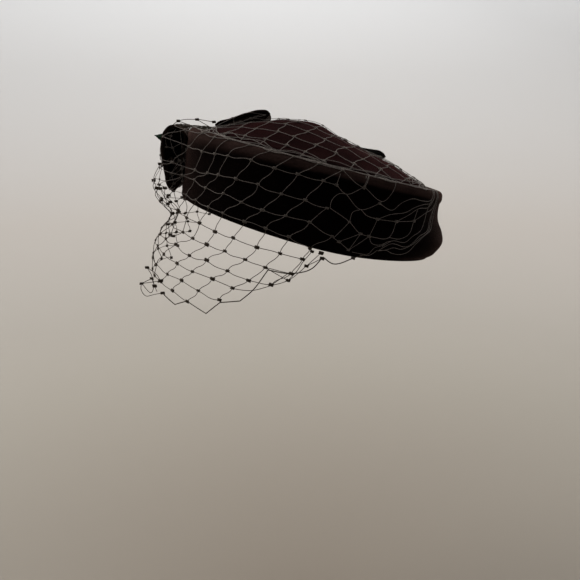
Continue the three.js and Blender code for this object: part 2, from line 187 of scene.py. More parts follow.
place_camera()
room()
soft_light("key", (-0.85, 0.25, 1.00), (0, 0, 0), 1.0, 16)
soft_light("back", (0.80, 0.70, 0.80), (0, 0, 0), 0.8, 7)
soft_light("wall_wash", (0.0, 0.35, 1.05), (0, 1.5, 0.25), 0.9, 11)
world = bpy.data.worlds.new("world")
world.use_nodes = True
world.node_tree.nodes["Background"].inputs["Color"].default_value = (*LIGHT_COLOUR, 1)
world.node_tree.nodes["Background"].inputs["Strength"].default_value = 0.14
bpy.context.scene.world = world
bpy.context.scene.view_settings.view_transform = "Standard"

# Crown
# The crown is one piece of brown velour felt, blocked over a form into a low dome with a short side wall.
# It is worn with its back lower, so every point is worked out upright in millimetres and then tilted.
MM = 0.001
WORN_TILT = math.radians(16)
HALF_LENGTH = 88.0
HALF_WIDTH = 76.5
OVAL_EXPONENT = 2.05
CROWN_WALL = 2.0
SEAM_GAP = 0.3
CUFF_WALL = 2.2
EDGE_OUT = CROWN_WALL + SEAM_GAP + CUFF_WALL
ROLL_RADIUS = 3.3
ROLL_RISE = 5.6
ROLL_ARC = 4.5
RIM_HEM = 3.0
RIM_FRONT_HEIGHT = 46.3
RIM_BACK_HEIGHT = 51.7
CUFF_SWELL = 8.0
EDGE_LIFT = 2.6
BACK_EDGE_LIFT = 5.8
DOME_RISE = 23.5
DOME_PEAK_FORWARD = 12.8
GROOVE_DEPTH = 2.2
GROOVE_START = 0.89
GROOVE_SHARE = 0.965
CROWN_WAVE = 0.35
CUFF_ROWS = {
    "height": (0, 0.05, 0.15, 0.3, 0.48, 0.64, 0.8, 1),
    "front": (0, 0.02, 0.06, 0.12, 0.31, 0.5, 0.62, 0.65),
    "side": (0, 0.08, 0.19, 0.27, 0.3, 0.27, 0.31, 0.37),
    "back": (0, 0.34, 0.64, 0.87, 0.52, -0.06, -0.36, -0.5),
}
DOME_ROWS = {
    "out": (0, 0.05, 0.12, 0.21, 0.32, 0.48, 0.65, 0.8, 0.92, GROOVE_SHARE),
    "front": (1, 0.99, 0.965, 0.92, 0.84, 0.66, 0.42, 0.21, 0.06, 0),
    "back": (1, 0.965, 0.88, 0.755, 0.655, 0.52, 0.39, 0.19, 0.04, 0),
}
FELT_STOPS = (0.10, 0.45)
CROWN_COLOURS = ((0.0014, 0.0003, 0.0003, 1), (0.0070, 0.0014, 0.0014, 1))
CROWN_NAP = (0.28, 0.075, 0.075, 1)
CROWN_NAP_WEIGHT = 0.21


def through(rows, key, column, at):
    """A smooth curve through a table's rows: cubic pieces whose slopes come from the rows on both sides."""
    x, y = np.array(rows[key], float), np.array(rows[column], float)
    slope = np.gradient(y, x)
    at = np.clip(at, x[0], x[-1])
    k = np.clip(np.searchsorted(x, at) - 1, 0, len(x) - 2)
    step = x[k + 1] - x[k]
    t = (at - x[k]) / step
    start = (2 * t**3 - 3 * t**2 + 1) * y[k] + (t**3 - 2 * t**2 + t) * step * slope[k]
    return start + (3 * t**2 - 2 * t**3) * y[k + 1] + (t**3 - t**2) * step * slope[k + 1]


def ease(value, low, high):
    """0 below low, 1 above high, and a smooth step between them."""
    t = np.clip((value - low) / (high - low), 0, 1)
    return t * t * (3 - 2 * t)


def worn(points):
    """Points in millimetres on the upright hat, tilted as it is worn, in metres."""
    x, y, z = np.moveaxis(np.asarray(points, float), -1, 0)
    c, s = math.cos(WORN_TILT), math.sin(WORN_TILT)
    return np.stack([x * c + z * s, y, z * c - x * s], -1) * MM


def oval(turn, out):
    """The head opening's oval grown by out: powers of cosine and sine. Turn 0 is the front."""
    c, s = np.cos(turn), np.sin(turn)
    power = 2 / OVAL_EXPONENT
    x = -(HALF_LENGTH + out) * np.sign(c) * np.abs(c) ** power
    y = -(HALF_WIDTH + out) * np.sign(s) * np.abs(s) ** power
    return x, y


def turn_of(x, y):
    """The turn of the oval at a plan point, from the same powers."""
    power = OVAL_EXPONENT / 2
    c = -np.sign(x) * (np.abs(x) / HALF_LENGTH) ** power
    s = -np.sign(y) * (np.abs(y) / HALF_WIDTH) ** power
    return np.arctan2(s, c)


def rim_top(x):
    return RIM_FRONT_HEIGHT + (RIM_BACK_HEIGHT - RIM_FRONT_HEIGHT) * (x / HALF_LENGTH + 1) / 2


def lower_edge(turn):
    behind = np.maximum(-np.cos(turn), 0)
    return EDGE_LIFT * np.sin(2 * turn) ** 2 * (behind > 0) + BACK_EDGE_LIFT * behind**4


def cuff_out(turn, share):
    """How far the cuff's outer face stands out: front, side and back columns blended by squares."""
    c = np.cos(turn)
    front = np.maximum(c, 0) ** 2 * through(CUFF_ROWS, "height", "front", share)
    side = np.sin(turn) ** 2 * through(CUFF_ROWS, "height", "side", share)
    back = np.maximum(-c, 0) ** 2 * through(CUFF_ROWS, "height", "back", share)
    return EDGE_OUT + CUFF_SWELL * (front + side + back)


def roll_height(turn):
    return rim_top(oval(turn, cuff_out(turn, 1.0))[0]) - ROLL_RISE


def crown_out(turn):
    return cuff_out(turn, 1.0) - 2 * ROLL_RADIUS - SEAM_GAP


def dome_height(turn, share):
    """The dome above the rim: front and back columns blended round the turn, falling into the groove."""
    front = through(DOME_ROWS, "out", "front", share)
    back = through(DOME_ROWS, "out", "back", share)
    behind = (1 - np.cos(turn)) / 2
    groove = GROOVE_DEPTH * ease(share, GROOVE_START, GROOVE_SHARE)
    return DOME_RISE * (front * (1 - behind) + back * behind) - groove


def dome_plan(turn, share, inwards=0):
    """The dome's plan point at a turn and a share of its outline, whose middle lies forward."""
    edge_x, edge_y = oval(turn, crown_out(turn) - inwards)
    return edge_x * share - DOME_PEAK_FORWARD * (1 - share), edge_y * share


def crown_height(x, y):
    """Height of the crown over a plan point: its share of the outline is found by repeated estimates."""
    share = np.full(np.shape(x), 0.5)
    for _ in range(24):
        middle = -DOME_PEAK_FORWARD * (1 - share)
        turn = turn_of(x - middle, y)
        edge_x, edge_y = oval(turn, crown_out(turn))
        share = np.hypot(x - middle, y) / np.hypot(edge_x, edge_y)
    return rim_top(x) + dome_height(turn, share)


def waves(points, size, seed):
    """Soft lumps between -1 and 1: a sum of plane waves in seeded directions, about size apart."""
    chance = np.random.default_rng(seed)
    ways = chance.normal(size=(10, 3))
    ways *= 2 * math.pi / (size * np.linalg.norm(ways, axis=1, keepdims=True))
    phases = chance.uniform(0, 2 * math.pi, 10)
    return np.sin(points @ ways.T + phases).sum(-1) / 5


def closed_shell(name, rings, joined, materials):
    """Rings of points joined into one closed surface, end to end or with a fan at both ends."""
    rows, columns = rings.shape[:2]
    points = rings.reshape(-1, 3)
    faces = grid_faces(rows, columns, joined, True).tolist()
    if not joined:
        for first, turned in ((0, 1), ((rows - 1) * columns, -1)):
            ring = first + np.arange(columns)[::turned]
            points = np.vstack([points, points[ring].mean(0)])
            hub = np.full(columns, len(points) - 1)
            faces += np.stack([np.roll(ring, -1), ring, hub], -1).tolist()
    corners = points[np.array([face[:3] for face in faces])]
    size = np.einsum("ij,ij->i", corners[:, 0], np.cross(corners[:, 1], corners[:, 2])).sum()
    if size < 0:
        faces = [face[::-1] for face in faces]
    return add_mesh(name, worn(points), faces, materials)


def felt(name, colours, nap_colour, nap_weight, painted_light=None):
    """Brown velour felt: almost black face on, with a short nap that lights up along the view.

    Where the piece's point attribute rises to 1, the second, lighter colours take over as painted light.
    """
    material, nodes, links, shader = new_material(name)
    place = nodes.new("ShaderNodeTexCoord")
    patches = add_node(nodes, "TexNoise", {"Scale": 55, "Detail": 4})
    nap = add_node(nodes, "TexNoise", {"Scale": 900, "Detail": 5, "Roughness": 0.7})
    mixed = nodes.new("ShaderNodeMath")
    mixed.operation = "MULTIPLY"
    bump = add_node(nodes, "Bump", {"Strength": 0.55, "Distance": 0.0006})
    links.new(place.outputs["Object"], patches.inputs["Vector"])
    links.new(place.outputs["Object"], nap.inputs["Vector"])
    links.new(patches.outputs["Fac"], mixed.inputs[0])
    links.new(nap.outputs["Fac"], mixed.inputs[1])
    colour = ramp_on(nodes, links, mixed.outputs[0], list(zip(FELT_STOPS, colours)))
    if painted_light is not None:
        where = nodes.new("ShaderNodeAttribute")
        where.attribute_name = "painted_light"
        second = ramp_on(nodes, links, mixed.outputs[0], list(zip(FELT_STOPS, painted_light)))
        mix = nodes.new("ShaderNodeMixRGB")
        links.new(where.outputs["Fac"], mix.inputs["Fac"])
        links.new(colour, mix.inputs["Color1"])
        links.new(second, mix.inputs["Color2"])
        colour = mix.outputs["Color"]
    links.new(colour, shader.inputs["Base Color"])
    links.new(nap.outputs["Fac"], bump.inputs["Height"])
    links.new(bump.outputs["Normal"], shader.inputs["Normal"])
    set_inputs(shader, {
        "Roughness": 0.95, "Specular IOR Level": 0.01, "Sheen Weight": nap_weight, "Sheen Roughness": 0.27,
        "Sheen Tint": nap_colour})
    return material


def crown():
    """The dome in shares of its outline and the side wall, then the same one felt thickness in."""
    turn = np.linspace(0, 2 * math.pi, 240, endpoint=False)
    shares = GROOVE_SHARE * np.sin(np.linspace(0.03, math.pi / 2, 44))

    def dome(share, inwards):
        x, y = dome_plan(turn, share, inwards)
        return np.stack([x, y, rim_top(x) + dome_height(turn, share) - inwards], -1)

    def wall(out, height):
        x, y = oval(turn, out)
        return np.stack([x, y, height + 0 * x], -1)

    def side(inwards):
        edge, top = lower_edge(turn), roll_height(turn)
        hem = top - RIM_HEM - SEAM_GAP
        rings = [wall(crown_out(turn) - inwards, top), wall(crown_out(turn) - inwards, hem)]
        for share in np.linspace(0.1, 1, 10):
            out = crown_out(turn) * (1 - share) + CROWN_WALL * share - inwards
            rings.append(wall(out, hem * (1 - share) + edge * share))
        return rings

    outside = [dome(share, 0) for share in shares] + side(0)
    inside = [dome(share, CROWN_WALL) for share in shares[:-3]] + side(CROWN_WALL)[1:]
    rings = np.array(outside + inside[::-1])
    upper = ease(rings[..., 2], 20, 45)
    rings[..., 2] += CROWN_WAVE * upper * waves(rings * (1, 1, 0), 38, 3)
    return closed_shell("felt_crown", rings, False, [crown_felt])


def felt_run(turn):
    """Felt from the middle of the dome to the lower edge at a turn: the dome's arc, then the side wall."""
    share = np.linspace(0, GROOVE_SHARE, 60)
    x, y = dome_plan(turn, share)
    dome = np.stack([x, y, rim_top(x) + dome_height(turn, share)], -1)
    wall_top = (*oval(turn, crown_out(turn)), roll_height(turn))
    wall_foot = (*oval(turn, CROWN_WALL), lower_edge(turn))
    return np.linalg.norm(np.diff(np.vstack([dome, wall_top, wall_foot]), axis=0), axis=1).sum()


crown_felt = felt("crown_felt", CROWN_COLOURS, CROWN_NAP, CROWN_NAP_WEIGHT)
crown_piece = crown()
crown_length = felt_run(0) + felt_run(math.pi)
crown_width = felt_run(math.pi / 2) + felt_run(-math.pi / 2)
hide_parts("crown")
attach(crown_piece, "root")

# Cuff
# A band of the same felt stands up round the crown. Its upper edge is rolled inwards and hemmed against the
# crown, and its lower edge is tacked to the crown's edge. It swells out at the back.
CUFF_STEPS = 48
ROLL_STEP = 0.9
# How much lower the painted light reaches at the front of the face, in millimetres.
PAINTED_LIGHT_FALL = 7.0
CUFF_WAVE = 0.3
# The cuff is the same felt as the crown, but its first colours are far darker, as painted shade on its face,
# and its last colours are lighter, as painted light on the roll and the front.
CUFF_PAINTED_SHADE_COLOURS = ((0.0002, 0.0001, 0.0001, 1), (0.0022, 0.0012, 0.0011, 1))
CUFF_NAP = (0.36, 0.21, 0.18, 1)
CUFF_NAP_WEIGHT = 0.28
# Lighter colours: painted light on the top of the roll and the front of the face.
CUFF_PAINTED_LIGHT_COLOURS = ((0.0125, 0.0072, 0.0062, 1), (0.0355, 0.0212, 0.0185, 1))
CUFF_DENTS = {
    "length": (151, 158, 187, 118, -140, -180),
    "height": (37, 22, 22, 30, 30, 20),
    "reach": (9, 10, 14, 16, 14, 12),
    "depth": (0.9, 1.0, 0.8, 0.5, 0.9, 0.8),
}


def lengths_along(points):
    """The length of a line from its first point to each of its points."""
    return np.concatenate([[0], np.cumsum(np.linalg.norm(np.diff(points, axis=0), axis=1))])


measured_turns = np.linspace(0, math.pi, 721)
edge_lengths = lengths_along(np.stack(oval(measured_turns, EDGE_OUT), -1))


def turn_at(length):
    """The turn at a length round the cuff's lower edge from the front, plus on the hat's left."""
    return np.sign(length) * np.interp(np.abs(length), edge_lengths, measured_turns)


def length_at(turn):
    turn = (turn + math.pi) % (2 * math.pi) - math.pi
    return np.sign(turn) * np.interp(np.abs(turn), measured_turns, edge_lengths)


def dents(length, height):
    """How far the felt is pushed in: a rounded hollow round each row of the table."""
    total = 0 * length
    for at, up, reach, depth in zip(*CUFF_DENTS.values()):
        total = total + depth * np.exp(-((length - at) ** 2 + (height - up) ** 2) / reach**2)
    return total


def under_roll(share):
    """How far the face stays behind the roll: a step that ends just below the roll and fades downwards."""
    return ROLL_STEP * ease(share, 0.2, 0.8) * (1 - ease(share, 0.93, 1))


def cuff():
    """The outer face, the roll, the hem and the inner face, carried round the oval."""
    turn = np.linspace(0, 2 * math.pi, 300, endpoint=False)
    edge, top, widest = lower_edge(turn), roll_height(turn), cuff_out(turn, 1.0)
    length = length_at(turn)
    shares = np.linspace(0, 1, CUFF_STEPS)[:, None]
    face_height = edge + shares * (top - edge)
    face_out = cuff_out(turn, shares) - dents(length, face_height) - under_roll(shares)

    def arc(radius, degrees, out, height):
        angle = np.radians(degrees)[:, None]
        rise = radius * ROLL_RISE / ROLL_RADIUS if radius > CUFF_WALL / 2 else radius
        return out + radius * np.cos(angle), height + rise * np.sin(angle)

    half = CUFF_WALL / 2
    hem_out, hem_height = widest - 2 * ROLL_RADIUS, top - RIM_HEM
    parts = [
        (face_out, face_height),
        arc(ROLL_RADIUS, np.linspace(12, 180, 15), widest - ROLL_RADIUS, top),
        arc(half, np.linspace(180, 360, 7), hem_out + half, hem_height),
        arc(1.02 * half, np.linspace(180, 12, 8), widest - ROLL_RADIUS, top),
        (face_out[::-1] - CUFF_WALL, face_height[::-1]),
        arc(half, np.linspace(198, 342, 5), face_out[0] - half, edge),
    ]
    out = np.concatenate([part[0] for part in parts])
    height = np.concatenate([part[1] for part in parts])
    x, y = oval(turn, out)
    rings = np.stack([x, y, height], -1)
    rings[..., 2] += CUFF_WAVE * ease(height, 25, 45) * waves(rings * (1, 1, 0), 45, 5)
    piece = closed_shell("felt_cuff", rings.transpose(1, 0, 2), True, [cuff_felt])
    # Painted light: the attribute lightens the felt over the top of the roll and further down the front of
    # the face, where the lamps fall; elsewhere the darker colours stay as painted shade.
    ahead = np.maximum(np.cos(turn), 0)
    low = PAINTED_LIGHT_FALL * ahead
    rise = ease((height - top + low) / (ROLL_RISE + low), 0.0, 0.35 + 0.35 * ahead) + 0.10 * ahead**2
    painted_light = piece.data.attributes.new("painted_light", "FLOAT", "POINT")
    painted_light.data.foreach_set("value", np.clip(rise, 0, 1).T.ravel())
    return piece


cuff_felt = felt("cuff_felt", CUFF_PAINTED_SHADE_COLOURS, CUFF_NAP, CUFF_NAP_WEIGHT, CUFF_PAINTED_LIGHT_COLOURS)
cuff_piece = cuff()
cuff_face = float(np.mean(roll_height(measured_turns) - lower_edge(measured_turns)))
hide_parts("cuff")
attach(cuff_piece, "root")

# Ribbon loops
# Three loops of doubled velvet ribbon with a satin side inwards, whose near-black blue is painted shade for
# the hollows.
# One stands off the front of the cuff, one lies flattened over the front of the crown, and one shows its
# rounded end on the crown's far side.
RIBBON_SEAT = 0.6
RIBBON_STEPS = 96
RIBBON_EDGE_STEPS = 5
RIBBON_FACE_STEPS = 17
SHADE_SHEET_REACH = 0.93
SHADE_SHEET_WALL = 0.6
SHADE_SHEET_STEPS = 16
FRONT_LOOP_SIZE = (43.5, 16.0)
FRONT_LOOP_WIDTH = 28.0
FRONT_LOOP_ASIDE = -3.0
FRONT_LOOP_ROWS = (
    (-0.02, 0.34), (0.03, 0.6), (0.25, 0.86), (0.48, 1.02), (0.68, 1.05), (0.88, 0.99),
    (0.99, 0.79), (1.03, 0.35), (0.95, 0), (0.5, 0), (0.19, 0), (0.06, 0.15),
)
FRONT_FOLD_ROWS = (
    (0.08, 0.36), (0.12, 0.62), (0.24, 0.72), (0.4, 0.78), (0.5, 0.6), (0.44, 0.34), (0.3, 0.2), (0.16, 0.22),
)
FLAT_LOOP_ROWS = (
    (0, 0.2), (0.03, 0.42), (0.25, 0.66), (0.5, 0.9), (0.75, 1), (0.93, 0.82),
    (1, 0.45), (0.93, 0.08), (0.7, 0), (0.35, 0), (0.05, 0),
)
FLAT_FOLD_ROWS = (
    (0.3, 0.2), (0.42, 0.36), (0.6, 0.47), (0.78, 0.52),
    (0.89, 0.42), (0.87, 0.24), (0.65, 0.2), (0.45, 0.18),
)
TOP_LOOP_SIZE = (36.5, 8.2)
TOP_LOOP_WIDTH = 30.0
TOP_LOOP_START = (-81.5, 8.0)
FAR_LOOP_ROWS = (
    (0, 0.22), (0.03, 0.48), (0.25, 0.5), (0.42, 0.56), (0.56, 0.72), (0.7, 0.95), (0.85, 1.2), (0.95, 1.12),
    (1, 0.85), (0.95, 0.58), (0.85, 0.4), (0.68, 0.1), (0.4, 0), (0.05, 0),
)
FAR_LOOP_SIZE = (38.0, 6.0)
FAR_LOOP_WIDTH = 24.0
FAR_LOOP_START = (9.0, 38.0)


def curve(points, lengths, at):
    """Places on the smooth line through points, at some lengths along it."""
    return np.stack([through({"at": lengths, "to": column}, "at", "to", at) for column in points.T], -1)


def closed_line(corners, steps):
    """A smooth closed line through corners, cubic over their chord lengths."""
    corners = np.vstack([corners[-3:], corners, corners[:4]])
    lengths = lengths_along(corners)
    return curve(corners, lengths, np.linspace(lengths[3], lengths[-4], steps, endpoint=False))


def band_section(width, wall):
    """Cross-section of a folded band: two flat faces joined by half-round edges, as aside and depth."""
    half, bend = width / 2, wall / 2
    face = np.linspace(-half + bend, half - bend, RIBBON_FACE_STEPS)
    angle = np.linspace(-math.pi / 2, math.pi / 2, RIBBON_EDGE_STEPS + 2)[1:-1]
    edge = half - bend + bend * np.cos(angle)
    aside = np.concatenate([face, edge, face[::-1], -edge])
    rise = bend * np.sin(angle)
    depth = np.concatenate([0 * face, bend + rise, wall + 0 * face, bend - rise])
    return aside, depth


def ribbon_band(corners, size, width, wall, place, seed):
    """A band carried round a closed outline, its face and both edges wavering a little."""
    line = closed_line(np.array(corners) * size, RIBBON_STEPS)
    way = np.roll(line, -1, 0) - np.roll(line, 1, 0)
    way /= np.linalg.norm(way, axis=1, keepdims=True)
    nearby = np.roll(line, -1, 0)
    turning = np.sign((line[:, 0] * nearby[:, 1] - nearby[:, 0] * line[:, 1]).sum())
    inwards = np.stack([-way[:, 1], way[:, 0]], -1) * turning
    aside, depth = band_section(width, wall)
    aside = aside[None] + 0 * line[:, :1]
    spot = np.stack([line[:, :1] + 0 * aside, line[:, 1:] + 0 * aside, aside], -1)
    depth = depth[None] + 0.22 * wall * (1 + waves(spot, 21, seed))
    aside = aside * (1 + 0.035 * waves(spot * (1, 1, 0), 26, seed + 1))
    flat = line[:, None] + inwards[:, None] * depth[..., None]
    rings = place(flat[..., 0], flat[..., 1], aside)
    run = np.linalg.norm(nearby - line, axis=1).sum()
    return rings, run * width


def hollow_shade_sheet(corners, size, place, aside):
    """A near-black sheet across a loop's hollow, as painted shade: its outline shrunk to the middle in folds,
    front and back.
    """
    line = closed_line(np.array(corners) * size, RIBBON_STEPS)
    middle = line.mean(0)
    shares = np.linspace(SHADE_SHEET_REACH, 0.02, SHADE_SHEET_STEPS)
    shares = np.concatenate([shares, shares[::-1]])[:, None]
    back = np.repeat([0.0, SHADE_SHEET_WALL], SHADE_SHEET_STEPS)[:, None]
    turn = np.linspace(0, 2 * math.pi, RIBBON_STEPS, endpoint=False)[None]
    folds = shares * (1 - shares) * (3.2 * np.sin(9 * turn) + 2.4 * np.sin(14 * turn + 1))
    flat = middle + (line[None] - middle) * shares[..., None]
    across = aside + np.sign(aside) * (back - 3 * (1 - shares**2)) + folds
    rings = place(flat[..., 0], flat[..., 1], across)
    x, y = SHADE_SHEET_REACH * line.T
    return rings, abs((x * np.roll(y, -1) - y * np.roll(x, -1)).sum()) / 2


def bands_piece(name, bands):
    """Several bands as one closed mesh: velvet outside and on the edges, the near-black satin of painted
    shade on the inner faces and the sheets.
    """
    points, faces, kinds = [], [], []
    start = 0
    for rings, _ in bands:
        rows, columns = rings.shape[:2]
        one = grid_faces(rows, columns, True, True)
        flat = rings.reshape(-1, 3)
        corners = flat[one]
        normal = np.cross(corners[:, 1] - corners[:, 0], corners[:, 3] - corners[:, 0])
        if (corners[:, 0] * normal).sum() < 0:
            one = one[:, ::-1]
        column = np.tile(np.arange(columns), rows)
        first_inner = RIBBON_FACE_STEPS + RIBBON_EDGE_STEPS
        inner = (column >= first_inner) & (column < first_inner + RIBBON_FACE_STEPS - 1)
        kinds.append((inner | (columns == RIBBON_STEPS)).astype(int))
        points.append(flat)
        faces += (one + start).tolist()
        start += len(flat)
    finishes = [velvet_finish, hollow_shade_finish]
    return add_mesh(name, worn(np.vstack(points)), faces, finishes, np.concatenate(kinds))


def cloth(name, kind, values, stops, strength, distance, finish):
    """Cloth whose grain, read by place on the piece, gives its colour between two stops and its relief."""
    material, nodes, links, shader = new_material(name)
    place = nodes.new("ShaderNodeTexCoord")
    grain = add_node(nodes, kind, values)
    bump = add_node(nodes, "Bump", {"Strength": strength, "Distance": distance})
    links.new(place.outputs["Object"], grain.inputs["Vector"])
    links.new(ramp_on(nodes, links, grain.outputs["Fac"], stops), shader.inputs["Base Color"])
    links.new(grain.outputs["Fac"], bump.inputs["Height"])
    links.new(bump.outputs["Normal"], shader.inputs["Normal"])
    set_inputs(shader, finish)
    return material


def velvet():
    """Dark reddish brown pile: crushed patches of two browns, and a nap that lights up along the view."""
    return cloth(
        "ribbon_velvet", "TexNoise", {"Scale": 320, "Detail": 8},
        ((0.35, (0.0050, 0.0027, 0.0022, 1)), (0.7, (0.0120, 0.0070, 0.0056, 1))), 0.6, 0.0008,
        {"Roughness": 0.9, "Specular IOR Level": 0.02, "Sheen Weight": 0.22, "Sheen Roughness": 0.3,
         "Sheen Tint": (0.34, 0.24, 0.20, 1)})


def painted_shade_satin():
    """The ribbon's other side: satin with fine cross ribs, near-black blue as painted shade for the hollows.
    """
    material = cloth(
        "ribbon_satin_painted_shade", "TexWave", {"Scale": 500, "Distortion": 2},
        ((0, (0.0006, 0.0007, 0.0011, 1)), (1, (0.0018, 0.0020, 0.0032, 1))), 0.3, 0.0002,
        {"Roughness": 0.6, "Specular IOR Level": 0.06})
    material.node_tree.nodes["Wave Texture"].bands_direction = "Z"
    return material


def before_cuff(height, out, aside):
    """A place on or before the front of the cuff's outer face; aside runs towards the hat's right."""
    turn = -aside / (HALF_WIDTH + EDGE_OUT)
    share = np.clip(height / roll_height(turn), 0, 1)
    x, y = oval(turn, cuff_out(turn, share) + RIBBON_SEAT + out)
    return np.stack([x, y, height], -1)


def on_crown(start, size, pinch):
    """Places over the crown from start backwards; the ribbon narrows to pinch at its tied end."""
    def place(along, up, aside):
        narrow = pinch + (1 - pinch) * ease(along, 0, 0.55 * size[0])
        x = start[0] + along
        y = start[1] + aside * narrow
        return np.stack([x, y, crown_height(x, y) + RIBBON_SEAT + up], -1)
    return place


def front_place(height, out, aside):
    return before_cuff(height, out, FRONT_LOOP_ASIDE + aside)


velvet_finish = velvet()
# The satin's near-black blue is painted shade, on the bands' inner faces and on the sheets across the front
# and top loops' hollows.
hollow_shade_finish = painted_shade_satin()
top_place = on_crown(TOP_LOOP_START, TOP_LOOP_SIZE, 0.8)
far_place = on_crown(FAR_LOOP_START, FAR_LOOP_SIZE, 0.85)
LOOPS = {
    "front_loop": (FRONT_LOOP_WIDTH, [
        ribbon_band(FRONT_LOOP_ROWS, FRONT_LOOP_SIZE, FRONT_LOOP_WIDTH, 2.4, front_place, 41),
        ribbon_band(FRONT_FOLD_ROWS, FRONT_LOOP_SIZE, 0.93 * FRONT_LOOP_WIDTH, 1.6, front_place, 43),
        hollow_shade_sheet(FRONT_LOOP_ROWS, FRONT_LOOP_SIZE, front_place, -3),
        hollow_shade_sheet(FRONT_LOOP_ROWS, FRONT_LOOP_SIZE, front_place, 5),
    ]),
    "top_loop": (TOP_LOOP_WIDTH, [
        ribbon_band(FLAT_LOOP_ROWS, TOP_LOOP_SIZE, TOP_LOOP_WIDTH, 1.7, top_place, 45),
        ribbon_band(FLAT_FOLD_ROWS, TOP_LOOP_SIZE, 0.96 * TOP_LOOP_WIDTH, 0.8, top_place, 47),
        hollow_shade_sheet(FLAT_LOOP_ROWS, TOP_LOOP_SIZE, top_place, -4),
        hollow_shade_sheet(FLAT_LOOP_ROWS, TOP_LOOP_SIZE, top_place, 5),
    ]),
    "far_loop": (FAR_LOOP_WIDTH, [
        ribbon_band(FAR_LOOP_ROWS, FAR_LOOP_SIZE, FAR_LOOP_WIDTH, 0.9, far_place, 49),
    ]),
}
for loop_name, (loop_width, bands) in LOOPS.items():
    loop_piece = bands_piece("ribbon_" + loop_name, bands)
    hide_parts(loop_name)
    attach(loop_piece, "root")

# Leaf
# One small velvet leaf, dark green, with its stem end tacked to the cuff beside the front loop. It is folded
# along its midrib and stands forward so that only its tip shows from the side.
LEAF_LENGTH = 30.5
LEAF_WIDTH = 12.0
LEAF_HEIGHT = 31.0
LEAF_THICKNESS = 0.9
LEAF_CLEARANCE = 0.6
LEAF_CURL = 3.0
LEAF_FOLD = 0.3
LEAF_TIP = 0.06
LEAF_FULLNESS = 0.8
LEAF_VEINS = 7
LEAF_TEETH = 16
TOOTH_SHARE = 0.05
VEIN_SLANT = 0.22
VEIN_RELIEF = 0.22
MIDRIB_RELIEF = 0.3
MIDRIB_HALF = 0.12


def leaf_skin(share, side, depth):
    """The blade: a sine arch wide with a toothed margin, folded on its midrib, with raised side veins."""
    arch = np.maximum(np.sin(math.pi * share**LEAF_FULLNESS), LEAF_TIP)
    teeth = 1 + TOOTH_SHARE * np.sin(2 * math.pi * LEAF_TEETH * share) * (share < 0.97)
    half = LEAF_WIDTH / 2 * arch * teeth
    slant = share - VEIN_SLANT * np.abs(side) * arch
    vein = np.maximum(np.cos(2 * math.pi * LEAF_VEINS * slant), 0) ** 6 * (1 - side**2)
    relief = VEIN_RELIEF * vein + MIDRIB_RELIEF * np.exp(-(side / MIDRIB_HALF) ** 2)
    inner = FRONT_LOOP_ASIDE + FRONT_LOOP_WIDTH / 2 + LEAF_CLEARANCE + LEAF_CURL * share**2
    aside = inner + np.abs(side) * half * LEAF_FOLD + depth - relief * (depth == 0) + MIDRIB_RELIEF
    return before_cuff(LEAF_HEIGHT + side * half, share * LEAF_LENGTH, aside)


def leaf_green():
    """Deep green cloth with a faint grain of two greens."""
    return cloth(
        "leaf_green", "TexNoise", {"Scale": 260, "Detail": 4},
        ((0.3, (0.0008, 0.0065, 0.0024, 1)), (0.75, (0.0024, 0.0185, 0.0068, 1))), 0.3, 0.0003,
        {"Roughness": 0.75, "Specular IOR Level": 0.05})


def leaf():
    """Rings across the blade: up its near face and down its far face, from stem to tip."""
    share = np.linspace(0, 1, 64)[:, None]
    side = np.linspace(-1, 1, 15)
    near = leaf_skin(share, side[None], 0.0)
    far = leaf_skin(share, side[None, ::-1], LEAF_THICKNESS)
    return closed_shell("leaf_blade", np.concatenate([near, far], 1), False, [leaf_green()])


leaf_piece = leaf()
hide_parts("leaf")
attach(leaf_piece, "root")

# Veil
# Diamond-mesh veiling: fine twisted threads with a tuft of chenille at every knot. It is wrapped round the
# cuff, tucked over the rim into the groove, and hangs below the cuff with its edge left bare.
CELL_LENGTH = 14.6
NET_START = 119.0
THREAD_RADIUS = 0.22
KNOT_RADIUS = 1.85
SUNK_SHARE = 0.78
NET_LIFT = 0.45
TUBE_SIDES = 6
KNOT_JITTER = 0.6
DIP_RUN = 27
FRONT_SAG = 4
FRONT_REACH = (50, 85)
BACK_START = 185
BACK_RUN = 30
BACK_TOP = 51
BACK_PULL = 0.35
BACK_PULL_START = 200
SHIFT = 5
SHIFT_PLACE = 48
SHIFT_REACH = 18
START_COLUMN = 7
DRAWN_STEPS = 48
TUFT_COLUMNS = 12
TUFT_LEANS = (0, 30, 60, 90)
TUFT_REACHES = (0.82, 1, 0.66, 0.52)
TUFT_VARIETY = (0.85, 1.15)
TUFT_HEIGHT = 0.4
NET_ROWS = {
    "row": (-1, 0, 1, 2, 3, 4, 5, 6, 7, 8, 9, 10),
    "height": (57, 48, 38.5, 26, 14, 2.5, -9.5, -20, -30, -38.5, -49.5, -59),
    "start": (30, 24.8, 15.3, 8.5, 0.8, -9, -12.3, -16, -25, -32.5, -39, -45.5),
    "dip": (0, 10.5, 10.5, 10.5, 11, 7, 0, 0, 0, 0, 0, 0),
    "dip_from": (145, 145, 145, 145, 138, 126, 126, 126, 126, 126, 126, 126),
    "left": (168, 168, 142, 149, 156, 145, 140, 135, 126, 114, 109, 80),
    "right": (168, 168, 158, 166, 172, 158, 148, 70, 58, 51, 47, 43),
}
HANG_ROWS = {
    "height": (-80, -72, -64, -55, -48, -35, -27, -18, -10, 0),
    "front": (1.5, 3, 6, 8.5, 10, 9.5, 7, 3.2, 2, 0.5),
    "side": (4.5, 4.3, 4.1, 3.8, 3.5, 3, 2.5, 1.8, 1, 0.4),
}
PUFF_MIDDLE = 3
PUFF_REACH = (14, 34)
PUFF_ROWS = {
    "height": (-20, -15, -10, -3, 2, 12, 27, 40, 48, 60),
    "out": (0, 2, 10, 19, 20, 17, 16.5, 13, 5, 0),
}


